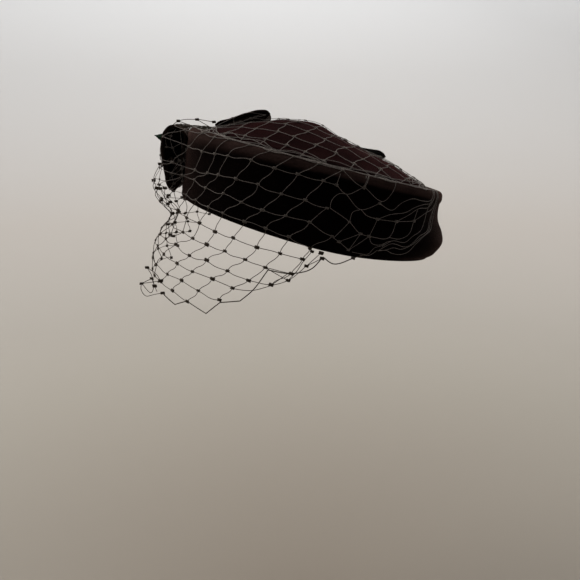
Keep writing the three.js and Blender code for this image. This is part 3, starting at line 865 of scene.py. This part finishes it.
def hat_side(length, height):
    """The cuff's outside at a length and a height: its face, then over the roll, and free air below it."""
    turn = turn_at(length)
    top, widest = roll_height(turn), cuff_out(turn, 1.0)
    low = lower_edge(turn)
    share = np.clip((height - low) / (top - low), 0, 1)
    face = cuff_out(turn, share) - dents(length, height)
    hang = through(HANG_ROWS, "height", "side", height)
    ahead = np.maximum(np.cos(turn), 0) ** 2
    hang = hang + ahead * (through(HANG_ROWS, "height", "front", height) - hang)
    angle = np.clip((height - top) / ROLL_ARC, 0, 2.9)
    over = height > top
    out_over = widest - ROLL_RADIUS + (ROLL_RADIUS + NET_LIFT) * np.cos(angle)
    out = np.where(over, out_over, face + NET_LIFT + (height < 0) * hang)
    up = np.where(over, top + (ROLL_RISE + NET_LIFT) * np.sin(angle), height)
    near = 1 - ease(np.abs(length - PUFF_MIDDLE), *PUFF_REACH)
    puff = through(PUFF_ROWS, "height", "out", height) * near
    x, y = oval(turn, out + puff)
    return np.stack([x, y, up], -1)


def facing(surface, places):
    """Unit normals of a surface at its two parameters, from differences half a millimetre apart."""
    a, b = places[..., 0], places[..., 1]
    along = surface(a + 0.25, b) - surface(a - 0.25, b)
    across = surface(a, b + 0.25) - surface(a, b - 0.25)
    normal = np.cross(along, across)
    return normal / np.maximum(np.linalg.norm(normal, axis=-1, keepdims=True), 1e-9)


def closed_tubes(count, rings, columns, turned):
    """Faces of many like tubes, closed at both ends. Turned is 1, or -1 where they run the other way."""
    one = grid_faces(rings, columns, False, True)[:, ::turned]
    start = np.arange(count)[:, None, None] * rings * columns
    faces = (one[None] + start).reshape(-1, 4).tolist()
    cap = np.arange(columns)
    faces += (cap[::-turned][None] + start[:, 0]).tolist()
    faces += (cap[::turned][None] + start[:, 0] + (rings - 1) * columns).tolist()
    return faces


def thread_tubes(paths, normals, radii):
    """Round tubes along many paths at once: rings in the plane of each path's normal and its cross."""
    way = np.gradient(paths, axis=1)
    way /= np.maximum(np.linalg.norm(way, axis=-1, keepdims=True), 1e-9)
    side = np.cross(way, normals)
    side /= np.maximum(np.linalg.norm(side, axis=-1, keepdims=True), 1e-9)
    up = np.cross(side, way)
    angle = np.linspace(0, 2 * math.pi, TUBE_SIDES, endpoint=False)[:, None]
    radii = np.broadcast_to(radii, paths.shape[:2])[..., None, None]
    ring = np.cos(angle) * side[..., None, :] + np.sin(angle) * up[..., None, :]
    points = paths[:, :, None, :] + radii * ring
    return points.reshape(-1, 3), closed_tubes(*paths.shape[:2], TUBE_SIDES, -1)


def knot_tufts(centres, normals, rows, size, seed):
    """Flat four-tipped tufts: a ball twice as long along its row of knots as across, its tips drawn out."""
    chance = np.random.default_rng(seed)
    count = len(centres)
    rows = rows / np.linalg.norm(rows, axis=-1, keepdims=True)
    cross = np.cross(normals, rows)
    angle = np.linspace(0, 2 * math.pi, TUFT_COLUMNS, endpoint=False)[None, None, :]
    tip = np.linspace(-math.pi / 2, math.pi / 2, 6)[None, 1:-1, None]
    lean = np.degrees(np.arccos(np.abs(np.cos(angle))))
    scale = size * chance.uniform(*TUFT_VARIETY, (count, 1, 1))
    outline = np.interp(lean, TUFT_LEANS, TUFT_REACHES)
    reach = scale * outline * chance.uniform(*TUFT_VARIETY, (count, 1, TUFT_COLUMNS))
    flat = reach * np.cos(tip)
    high = TUFT_HEIGHT * scale * np.sin(tip) + 0 * angle
    points = centres[:, None, None] + flat[..., None] * (
        np.cos(angle)[..., None] * rows[:, None, None] + np.sin(angle)[..., None] * cross[:, None, None])
    points = points + high[..., None] * normals[:, None, None]
    rings, columns = points.shape[1:3]
    per_knot = (rings - 1) * columns
    owner = np.concatenate([np.repeat(np.arange(count), per_knot), np.arange(count), np.arange(count)])
    return points.reshape(-1, 3), closed_tubes(count, rings, columns, 1), owner


def bent_paths(places, strands, steps, seed):
    """Threads between knots as slack curves: straight lines with a bow and an S, by their direction."""
    chance = np.random.default_rng(seed)
    start, end = places[strands[:, 0]], places[strands[:, 1]]
    steep = strands[:, 2, None, None]
    t = np.linspace(0, 1, steps)[None, :, None]
    way = end - start
    across = np.stack([-way[:, 1], way[:, 0]], -1)[:, None]
    slack = chance.normal(0, 1, (2, len(strands), 1, 1))
    waver = (0.03 * steep + 0.015 * slack[0]) * np.sin(2 * math.pi * t)
    bow = (-0.03 * (1 - steep) + (0.025 + 0.015 * steep) * slack[1]) * np.sin(math.pi * t)
    return start[:, None] + t * way[:, None] + across * (waver + bow)


def drawn(points, steps):
    """A smooth line through a list of points, at even shares of its length."""
    points = np.array(points, float)
    lengths = lengths_along(points)
    return curve(points, lengths, np.linspace(0, lengths[-1], steps))


def slow_wave(chance, run, shortest, longest, terms, waver):
    """A sum of sine waves along a run, with lengths between shortest and longest."""
    lengths = chance.uniform(shortest, longest, terms)
    phases = chance.uniform(0, 2 * math.pi, terms)
    return np.sin(2 * math.pi * run[:, None] / lengths + phases).sum(1) * waver / terms


def bundle(points, spread, count, waver, seed, steps=64):
    """Strands that run together: one line, set apart across it by spread, each with slow waves of its own."""
    chance = np.random.default_rng(seed)
    line = drawn(points, steps)
    way = np.gradient(line, axis=0)
    way /= np.linalg.norm(way, axis=1, keepdims=True)
    across = np.stack([-way[:, 1], way[:, 0]], -1)
    run = np.linalg.norm(np.diff(line, axis=0), axis=1).sum() * np.linspace(0, 1, steps)
    reach = np.interp(np.linspace(0, 1, steps), np.linspace(0, 1, len(spread)), spread)
    paths = []
    for place in np.linspace(-1, 1, count):
        wave = slow_wave(chance, run, 14, 34, 3, waver)
        paths.append(line + across * (place * reach + wave)[:, None])
    return paths


def net_mesh(parts, seed):
    """Points, faces and material numbers of threads and tufts, part by part.

    A part has a surface of two parameters, paths and knots on it, the thread's radius, the way of its rows
    of knots, and which threads hang free. Those take darker colours as painted shade, and the others take
    lighter colours as painted light and are smaller, sunk into the nap.
    """
    points, faces, kinds = [], [], []
    for part in parts:
        surface, spots, hanging = part["surface"], part["knots"], part["hanging"]
        start = sum(len(block) for block in points)
        paths = part["paths"]
        places = surface(paths[..., 0], paths[..., 1])
        free = hanging(paths[:, paths.shape[1] // 2]).astype(int)
        radii = part["radius"] * np.where(free, 1, SUNK_SHARE)[:, None]
        block, thread_faces = thread_tubes(places, facing(surface, paths), radii)
        points.append(block)
        faces += [[corner + start for corner in face] for face in thread_faces]
        kinds += [np.repeat(free, (paths.shape[1] - 1) * TUBE_SIDES), free, free]
        if len(spots):
            spots = np.array(spots, float)
            centres = surface(spots[:, 0], spots[:, 1])
            rows = surface(*(spots + 0.5 * np.array(part["row_way"])).T) - centres
            size = KNOT_RADIUS * np.where(hanging(spots), 1, SUNK_SHARE)[:, None, None]
            tufts, tuft_faces, owner = knot_tufts(centres, facing(surface, spots), rows, size, seed + 1)
            start += len(block)
            points.append(tufts)
            faces += [[corner + start for corner in face] for face in tuft_faces]
            kinds.append(2 + hanging(spots)[owner])
    return np.vstack(points), faces, np.concatenate(kinds)


def net_piece(name, parts, seed):
    points, faces, kinds = net_mesh(parts, seed)
    finishes = [lit_thread_finish, shaded_thread_finish, lit_tuft_finish, shaded_tuft_finish]
    return add_mesh(name, worn(points), faces, finishes, kinds)


def net_part(surface, paths, knots, hanging, radius=THREAD_RADIUS, row_way=(1, 0)):
    return {"surface": surface, "paths": paths, "knots": knots, "radius": radius, "row_way": row_way,
            "hanging": hanging}


def lines_part(surface, lines, knots, hanging, radius=THREAD_RADIUS):
    """Drawn threads as a part of a net, all with the same number of steps."""
    return net_part(surface, np.array([drawn(line, DRAWN_STEPS) for line in lines]), knots, hanging, radius)


def lattice(columns, rows, keep, place):
    """Knots of a diamond net in kept cells: their places, the threads between them, and their rows."""
    i, j = np.meshgrid(columns, rows, indexing="ij")
    spots = place(i, j)
    kept = keep(i, j, spots)
    number = np.where(kept, np.cumsum(kept).reshape(kept.shape) - 1, -1)
    along = kept[:-1] & kept[1:]
    down = kept[:, :-1] & kept[:, 1:]
    strands = np.concatenate([
        np.stack([number[:-1][along], number[1:][along], 0 * number[1:][along]], -1),
        np.stack([number[:, :-1][down], number[:, 1:][down], 1 + 0 * number[:, 1:][down]], -1)])
    return spots[kept], strands, j[kept]


def veil_place(i, j):
    """Length and height of a knot: even rows that sag at the front and dip and rise towards the back."""
    chance = np.random.default_rng(11)
    start, height, dip, dip_from = (np.interp(j, NET_ROWS["row"], NET_ROWS[key])
                                    for key in ("start", "height", "dip", "dip_from"))
    length = NET_START + CELL_LENGTH * (i - START_COLUMN) + start
    far = np.abs(length)
    upper = (j <= 2) & (j >= 0)
    sag = FRONT_SAG * (1 - ease(far, *FRONT_REACH))
    height = height - dip * ease(far, dip_from, dip_from + DIP_RUN) - upper * sag
    lift = np.clip((far - BACK_START) / BACK_RUN, 0, 1) ** 2.2
    height = height + upper * lift * (BACK_TOP - height)
    length = np.sign(length) * (far - BACK_PULL * np.maximum(far - BACK_PULL_START, 0))
    length = length + SHIFT * (upper | (j == 6)) * np.exp(-((length - SHIFT_PLACE) / SHIFT_REACH) ** 2)
    jitter = chance.normal(0, KNOT_JITTER, (2,) + i.shape)
    return np.stack([length + jitter[0], height + jitter[1]], -1)


def veil_keep(i, j, spots):
    left = np.interp(j, NET_ROWS["row"], NET_ROWS["left"])
    right = np.interp(j, NET_ROWS["row"], NET_ROWS["right"])
    return (spots[..., 0] < left) & (spots[..., 0] > -right)


def thread(name, dark, light, rough, scale):
    """Brown veiling thread: fine streaks of two browns and a little sheen."""
    return cloth(
        name, "TexNoise", {"Scale": scale, "Detail": 3}, ((0.35, dark), (0.7, light)), 0.5, 0.0002,
        {"Roughness": rough, "Specular IOR Level": 0.25, "Sheen Weight": 0.15, "Sheen Roughness": 0.5,
         "Sheen Tint": (0.7, 0.6, 0.5, 1)})


def on_felt(spots):
    return np.zeros(np.shape(spots)[:-1], bool)


def all_free(spots):
    return np.ones(np.shape(spots)[:-1], bool)


def below_cuff(spots):
    return spots[..., 1] < -1


# One veiling thread in two copies each for threads and tufts: lighter colours on the felt as painted light,
# darker colours where they hang free as painted shade.
lit_thread_finish = thread("net_thread", (0.070, 0.058, 0.053, 1), (0.155, 0.134, 0.122, 1), 0.7, 1200)
lit_tuft_finish = thread("net_tuft", (0.036, 0.030, 0.026, 1), (0.10, 0.086, 0.076, 1), 0.9, 2500)
shaded_thread_finish = thread("net_thread_free", (0.018, 0.013, 0.008, 1), (0.045, 0.033, 0.021, 1), 0.8, 1200)
shaded_tuft_finish = thread("net_tuft_free", (0.014, 0.009, 0.005, 1), (0.038, 0.026, 0.016, 1), 0.9, 2500)
places, strands, knot_rows = lattice(np.arange(-24, 20), np.arange(-1, 11), veil_keep, veil_place)
lattice_part = net_part(hat_side, bent_paths(places, strands, 10, 21), places[knot_rows > -1], below_cuff)

# Loose, folded and gathered threads of the veil
# The net isn't even here, so its knots are named pixels of the 580 by 580 frame, given as seen:
# k for a knot with a tuft and b for a bend. A thread is a route through them, set down on the hat.
# Three ends are set on knots of the even net instead: the back's b16, the fold's b3 and the bridge's b14.
FRAME_PIXELS = 580
FOCAL_PIXELS = FRAME_PIXELS * CAMERA_LENS / SENSOR_WIDTH
VIEW_DIP = math.pi / 2 - CAMERA_PITCH
EDGE_RADIUS = 0.34
EDGE_POINTS = {
    "k1": (162.5, 293), "b1": (175, 304.5), "k2": (187, 301), "b2": (206, 313.5), "k3": (220, 302.5),
    "b3": (240, 301), "b4": (252, 291), "b5": (268, 270), "b6": (290, 273.5), "b7": (312, 268.5),
    "b8": (323, 257), "b9": (332, 263.5), "b10": (354, 258), "b11": (368, 254),
}
EDGE_THREADS = ("k1 b1", "b1 k2", "k2 b2", "b2 k3", "k3 b3", "b3 b4 b5", "b5 b6 b7 b8", "b8 b9 b10 b11")
FOLDED_POINTS = {
    "b5": (270, 286), "k2": (288, 280.5), "b6": (288, 273.5), "b7": (302.5, 262.5), "k5": (306.5, 266),
    "k6": (312, 251.5), "k7": (321, 253), "k8": (322, 258.5), "k9": (353, 258), "b1": (231, 288.5),
    "b2": (252, 290.5), "b3": (266, 268), "b4": (297, 271),
}
FOLDED_THREADS = ("b1 b2 b5", "b5 k2 k5", "b3 k2", "b5 b6", "b7 k6", "k5 k7", "k5 k8", "b7 b4 k2")
BACK_POINTS = {
    "k1": (336.5, 185), "k2": (364.5, 187), "k3": (379.5, 203.6), "k4": (396, 189), "k6": (377.5, 219.3),
    "k7": (396.5, 221.5), "k8": (414, 221), "k9": (369, 236.5), "k10": (349.5, 222), "k11": (360.5, 233.7),
    "k12": (339, 241.7), "k13": (348.5, 250),
    "b1": (349, 180.5), "b2": (346, 194), "b3": (361, 209.5), "b4": (382, 201.5), "b5": (393, 210),
    "b6": (370, 182), "b7": (389, 215), "b8": (408, 211.5), "b9": (413, 208.5), "b10": (424, 204.5),
    "b11": (408, 235), "b12": (399, 239), "b13": (389, 237.5), "b14": (426.5, 212.5), "b15": (353, 212),
    "b16": (321, 180.5), "b17": (330, 208), "b18": (333.5, 238), "b19": (380, 245), "b20": (366, 215),
    "b21": (401, 203.5), "b22": (411.5, 199), "b23": (423, 201), "b24": (430.5, 200.5), "b25": (431, 203),
    "b26": (408, 215.5), "b27": (418, 209), "b28": (429.5, 206.5), "b29": (431.5, 209.5), "b30": (331.5, 201),
    "b31": (340, 193.5), "b32": (371.5, 243), "b33": (387, 242),
}
BACK_THREADS = (
    "b16 k1", "k1 b1 k2", "k1 b2 k2", "b2 b3 k3", "k2 b4 k4 rim", "k2 b6 rim", "k3 b4",
    "k3 b5 b21 b22 b23 b24 rim", "b3 b20 k6", "k6 b7 b8 b9 b10 b25 rim", "k6 k7 k8", "k7 b26 b27 b28 rim",
    "k8 b27", "k8 b14 b29 rim", "k8 b11 b12 b13", "k7 b13 k9", "k6 k9", "b17 k10 k11 k9", "b3 b15 k10",
    "k10 b18", "k12 k11", "k11 k13", "k9 k13", "k12 k13", "b18 k12", "k9 b32 b19 b33",
    "b17 b30 b31 b2",
)
GATHER_POINTS = {
    "a1": (382, 246.5), "a2": (392, 241), "a3": (405.5, 242.2), "a4": (412.2, 236.7), "a5": (421, 230),
    "a6": (425, 219), "a7": (427, 211),
    "b1": (379, 250), "b2": (390.5, 244), "b3": (406.7, 246.7), "b4": (419, 236.7), "b5": (427.8, 229.4),
    "b6": (430.5, 217),
    "c1": (376.7, 250.5), "c2": (385.5, 250), "c3": (393.3, 247.8), "c4": (401, 249.4), "c5": (410, 246),
    "c6": (418, 240), "c7": (429, 229.5),
    "d1": (377.8, 251), "d2": (386.7, 250.5), "d3": (390.5, 252.8), "d4": (408.3, 251.7),
    "d5": (414.4, 245.5), "d6": (422.2, 237.8), "d7": (431, 228.5),
    "e1": (352, 252), "e2": (359, 253.5), "e3": (368, 254), "e4": (374.4, 248), "e5": (382, 245.5),
    "e6": (387, 242), "f1": (360, 255), "f2": (370, 255),
}
GATHER_THREADS = (
    "a1 a2 a3 a4 a5 a6 a7 rim", "b1 b2 b3 b4 b5 b6 rim", "c1 c2 c3 c4 c5 c6 c7 rim",
    "d1 d2 d3 d4 d5 d6 d7 rim", "e1 e2 e3 e4 e5 e6 a2", "f1 f2 c1",
)
RIM_TUCK = 56.0
RIM_LEAN = 6.0
HOLLOW_ASIDE = -18.4
HOLLOW_POINTS = {
    "k1": (170.7, 136), "k2": (166.5, 147), "k3": (172.5, 147.8), "k4": (179.5, 160.5), "k5": (185, 149),
    "k6": (193, 155), "k7": (171, 173.3), "k8": (182, 168.5), "k9": (174, 183.5), "k10": (182.7, 181),
    "b1": (176, 129), "b2": (165, 134.5), "b3": (161.5, 147.5), "b4": (180, 128), "b5": (181.5, 143),
    "b6": (184, 160.5), "b7": (190.7, 170.2), "b8": (165, 182), "b9": (169, 190), "b10": (186, 183),
    "b11": (161.5, 163.5),
}
HOLLOW_THREADS = (
    "b1 k1 k3 k4", "b2 k1", "b2 k2", "b3 k2 k3", "b4 b5 b6 b7", "b5 k3", "k5 k6", "k6 b6", "k4 k7", "b6 k7",
    "k7 k9", "b7 k9", "k8 k10", "b8 k8", "b11 k7", "k9 b9", "b9 b10", "k4 k8",
)
BRIDGE_ASIDE = 2.0
BRIDGE_POINTS = {
    "k1": (178.5, 121), "k2": (197, 119.5), "k3": (214, 122), "k4": (160, 164), "k5": (153.8, 180.4),
    "k6": (157, 188), "k7": (160, 188.5), "k8": (164.8, 188), "k9": (173.6, 190.8), "k10": (168.7, 195.3),
    "k11": (170.2, 202), "k12": (176.2, 201.2), "k13": (182.2, 197.2), "k14": (161.3, 200.3),
    "k15": (167.8, 203.8), "k16": (172.6, 213.2), "k17": (179, 212), "k18": (168.3, 224.3),
    "k19": (175, 222.5), "k20": (170.3, 234.7), "k21": (173.3, 236),
    "b1": (165, 133), "b2": (192, 126), "b3": (210, 127), "b4": (157.3, 195), "b5": (166.5, 208),
    "b6": (165.3, 198), "b7": (174, 207.5), "b8": (179, 207), "b9": (174.5, 217), "b10": (168.5, 221),
    "b11": (163.5, 226), "b12": (159.7, 233), "b13": (173, 228.5), "b14": (166, 239),
}
# The thread from k7 to k15 is a guess between two seen knots, and the end of k12 to k17 is simplified.
BRIDGE_THREADS = (
    "b1 k1 k2 k3", "k1 b2", "k2 b3", "k4 k5 k6", "k6 k7 k8", "k6 b4 k14", "k14 b5 k16", "k8 b6 k11", "k7 k15",
    "k15 k16", "k11 b7 k17", "k9 k10", "k9 k12", "k12 k13", "k12 b8 k17", "k17 k19", "k16 b9 b10 b11 b12",
    "b9 k19", "b10 k18 k20", "k19 b13 k20 b14", "k20 k21",
)
STRAY_POINTS = {
    "k1": (147, 267.5), "k2": (151.7, 278.5), "k3": (141.5, 283.5), "k4": (154.5, 286), "k5": (162.5, 293),
    "k6": (160.5, 281), "b1": (157, 275), "b2": (151, 274), "b3": (151.5, 292.5), "b4": (157, 291.5),
    "b5": (141, 289), "b6": (146, 296), "b7": (154, 294.5),
}
STRAY_THREADS = ("k1 b1 k6", "k1 b2 k4", "k3 k2", "k3 k6", "k3 b3 k4", "k4 k2", "k4 b4", "k3 b5 b6 b7 k5")
TOP_ASIDE = -7.8
TOP_POINTS = {
    "k1": (251, 118.5), "k2": (241, 122), "k3": (233, 118), "k4": (268, 120.5), "b1": (212, 128),
    "b2": (246, 113), "b3": (266, 115), "b4": (262, 114), "b5": (235, 127), "b6": (257, 128),
    "b7": (226, 126),
}
TOP_THREADS = ("b1 k3 b2 b3", "b1 k2 b4", "k3 b5", "b7 k2 b6", "k2 k1 k4", "k1 b3")
FRINGE_ROUTE = {"front": (166, 134), "bend": (173, 126.5), "top": (188, 126.5), "groove": (215, 129)}
FRINGE_ASIDES = (-15, -8, 1)
RELIEF = 1.2
GUESS_SCALE = 0.62
GUESS_LENGTH = 60
GUESS_FRONT_PIXEL = 160
GUESS_EDGE_PIXEL = (230, 235)
GUESS_SLOPE = 0.25


def pixel_of(points):
    """Where points on the upright hat, in millimetres, fall in the camera's frame."""
    x, y, z = np.moveaxis(worn(points) - np.array(CAMERA_PLACE), -1, 0)
    c, s = math.cos(VIEW_DIP), math.sin(VIEW_DIP)
    scale = FOCAL_PIXELS / (y * c - z * s)
    return np.stack([FRAME_PIXELS / 2 + scale * x, FRAME_PIXELS / 2 - scale * (y * s + z * c)], -1)


def upright_plane(aside):
    """Points behind pixels on a plane along the hat, aside from its middle, that waves a little in depth."""
    def place(u, v):
        c, s = math.cos(VIEW_DIP), math.sin(VIEW_DIP)
        right, up = (u - FRAME_PIXELS / 2) / FOCAL_PIXELS, (FRAME_PIXELS / 2 - v) / FOCAL_PIXELS
        depth = aside + RELIEF * np.sin(u / 4) * np.cos(v / 6)
        reach = (depth - CAMERA_PLACE[1] / MM) / (c + up * s)
        x = CAMERA_PLACE[0] / MM + reach * right
        z = CAMERA_PLACE[2] / MM + reach * (up * c - s)
        c, s = math.cos(WORN_TILT), math.sin(WORN_TILT)
        return np.stack([x * c - z * s, depth, x * s + z * c], -1)
    return place


def on_side(pixels):
    """Length and height of hat_side behind pixels: Newton's steps from a guess that slopes with the cuff."""
    pixels = np.array(pixels, float)
    u, v = pixels.T
    length = GUESS_LENGTH + GUESS_SCALE * (u - GUESS_FRONT_PIXEL)
    height = GUESS_SCALE * (GUESS_EDGE_PIXEL[1] - v + GUESS_SLOPE * (u - GUESS_EDGE_PIXEL[0]))
    at = np.stack([length, height], -1)
    for _ in range(40):
        here = pixel_of(hat_side(*at.T))
        slopes = np.stack([(pixel_of(hat_side(*(at + step).T)) - here) / 0.1
                           for step in ((0.1, 0), (0, 0.1))], -1)
        steps = np.linalg.solve(slopes + 1e-6 * np.eye(2), (pixels - here)[..., None])[..., 0]
        at = at + 0.5 * np.clip(steps, -6, 6)
    return at


def routes(points, threads, place=np.array):
    """Each thread's points, from its names. The name rim carries it on over the rim and into the groove."""
    spots = dict(zip(points, place(list(points.values()))))
    lines = []
    for thread in threads:
        line = [spots[name] for name in thread.split() if name != "rim"]
        if thread.endswith(" rim"):
            line.append(np.array([line[-1][0] + RIM_LEAN, RIM_TUCK]))
        lines.append(line)
    return lines


def tufted(points, place=np.array):
    return place([at for name, at in points.items() if name.startswith("k")])


def mirrored(lines):
    return [np.array(line) * (-1, 1) for line in lines]


def plane_part(aside, points, threads, hanging):
    return lines_part(upright_plane(aside), routes(points, threads), tufted(points), hanging)


back_lines = routes(BACK_POINTS, BACK_THREADS, on_side)
back_lines += routes(GATHER_POINTS, GATHER_THREADS, on_side)
back_tufts = tufted(BACK_POINTS, on_side)
corner_aside = float(hat_side(*on_side([EDGE_POINTS["k1"]]).T)[0, 1])
loose_parts = [
    lines_part(hat_side, routes(EDGE_POINTS, EDGE_THREADS, on_side), [], below_cuff, EDGE_RADIUS),
    lines_part(hat_side, routes(FOLDED_POINTS, FOLDED_THREADS, on_side), tufted(FOLDED_POINTS, on_side),
               below_cuff),
    lines_part(hat_side, back_lines + mirrored(back_lines), np.vstack([back_tufts, back_tufts * (-1, 1)]),
               below_cuff),
    plane_part(HOLLOW_ASIDE, HOLLOW_POINTS, HOLLOW_THREADS, on_felt),
    plane_part(BRIDGE_ASIDE, BRIDGE_POINTS, BRIDGE_THREADS, all_free),
    plane_part(corner_aside, STRAY_POINTS, STRAY_THREADS, all_free),
    plane_part(TOP_ASIDE, TOP_POINTS, TOP_THREADS, on_felt),
]
for number, aside in enumerate(FRINGE_ASIDES):
    fringe = bundle(list(FRINGE_ROUTE.values()), (0.5, 1.0, 1.2), 4, 1.5, 81 + number)
    loose_parts.append(lines_part(upright_plane(aside), fringe, [], all_free))

# Bunched edge of the veil
# The veil's tucked edge lies bunched where the rolled rim falls into the groove: bare strands that run round
# the hat. With them all parts of the veil are there, so its one piece is made here.
BUNCH_ANGLE = 1.85
BUNCH_RADIUS = 0.3


def rim_side(length, angle):
    """Over the rolled rim at a length round the hat and an angle, from its outside up and inwards."""
    turn = turn_at(length)
    x, y = oval(turn, cuff_out(turn, 1.0) - ROLL_RADIUS + (ROLL_RADIUS + NET_LIFT) * np.cos(angle))
    return np.stack([x, y, roll_height(turn) + (ROLL_RISE + NET_LIFT) * np.sin(angle)], -1)


def rim_bunch(first, last, count, spread, waver, seed):
    """Strands along the rim: even lengths, angles set apart by spread, each with slow waves of its own."""
    chance = np.random.default_rng(seed)
    steps = 220
    length = np.linspace(first, last, steps)
    paths = []
    for place in np.linspace(-1, 1, count):
        wave = slow_wave(chance, length, 11, 40, 4, waver)
        paths.append(np.stack([length, BUNCH_ANGLE + spread * place + wave], -1))
    return np.array(paths)


bunch_part = net_part(rim_side, rim_bunch(-228, 228, 8, 0.5, 0.5, 71), [], on_felt, BUNCH_RADIUS)
veil_piece = net_piece("veil_net", [lattice_part, bunch_part] + loose_parts, 21)
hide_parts("veil")
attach(veil_piece, "root")

# Crown net
# A second run of the same veiling comes up out of the groove and is drawn slantwise over the dome. More of
# its threads run round the dome's foot, and some are gathered across the back of the dome.
CROWN_NET_START = (-5.5, -38.0)
CROWN_ALONG = (13.0, -5.6)
CROWN_DOWN = (-5.4, -13.8)
CROWN_JITTER = 0.7
MEAN_RADIUS = 80.0
DOME_GATHER = ((57, 45), (65, 24), (69, 0), (65, -24), (56, -46))


def crown_top(x, y):
    """Just above the dome's felt, rising and falling in slow waves, because the net isn't drawn tight."""
    points = np.stack([x, y, crown_height(x, y)], -1)
    points[..., 2] += NET_LIFT + 0.5 * (1 + waves(points, 19, 33))
    return points


def groove_side(around, inwards):
    """Above the dome's foot, by millimetres round the outline and inwards from it."""
    return crown_top(*dome_plan(around / MEAN_RADIUS, 1 - inwards / MEAN_RADIUS))


def groove_bunch(count, near, far, waver, seed):
    """Threads all round the dome's foot, from near to far inwards, each with whole waves of its own."""
    chance = np.random.default_rng(seed)
    turn = np.linspace(-math.pi, math.pi, 200)
    paths = []
    for inwards in np.linspace(near, far, count):
        laps, phases = chance.integers(5, 24, 4), chance.uniform(0, 2 * math.pi, 4)
        wave = np.sin(turn[:, None] * laps + phases).sum(1) * waver / 4
        paths.append(np.stack([turn * MEAN_RADIUS, np.maximum(inwards + wave, near)], -1))
    return np.array(paths)


def crown_share(x, y):
    edge_x, edge_y = oval(turn_of(x, y), crown_out(turn_of(x, y)))
    return np.hypot(x, y) / np.hypot(edge_x, edge_y)


def crown_net_place(i, j):
    chance = np.random.default_rng(12)
    x = CROWN_NET_START[0] + CROWN_ALONG[0] * i + CROWN_DOWN[0] * j
    y = CROWN_NET_START[1] + CROWN_ALONG[1] * i + CROWN_DOWN[1] * j
    jitter = chance.normal(0, CROWN_JITTER, (2,) + i.shape)
    return np.stack([x + jitter[0], y + jitter[1]], -1)


def crown_net_keep(i, j, spots):
    return crown_share(spots[..., 0], spots[..., 1]) < 1.16


def tuck(paths):
    """Threads that leave the dome end at the groove: their points are spread again over what lies inside."""
    inside = crown_share(paths[..., 0], paths[..., 1]) < GROOVE_SHARE
    steps = paths.shape[1]
    first, last = inside.argmax(1), steps - 1 - inside[:, ::-1].argmax(1)
    kept = last - first >= 2
    paths, first, last = paths[kept], first[kept, None], last[kept, None]
    at = first + (last - first) * np.linspace(0, 1, steps)
    low = np.minimum(at.astype(int), steps - 2)
    share = (at - low)[..., None]
    row = np.arange(len(paths))[:, None]
    return paths[row, low] * (1 - share) + paths[row, low + 1] * share


places, strands, _ = lattice(np.arange(-14, 15), np.arange(-14, 12), crown_net_keep, crown_net_place)
on_dome = crown_share(places[:, 0], places[:, 1]) < GROOVE_SHARE
strands = strands[on_dome[strands[:, 0]] | on_dome[strands[:, 1]]]
crown_part = net_part(crown_top, tuck(bent_paths(places, strands, 10, 31)), places[on_dome], on_felt,
                      row_way=CROWN_ALONG)
foot_part = net_part(groove_side, groove_bunch(5, 2.8, 7.5, 2.6, 35), [], on_felt)
gather_part = lines_part(crown_top, bundle(DOME_GATHER, (3, 5, 6, 5, 3), 5, 1.8, 37), [], on_felt)
crown_net = net_piece("crown_net", [crown_part, foot_part, gather_part], 31)
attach(crown_net, "root")
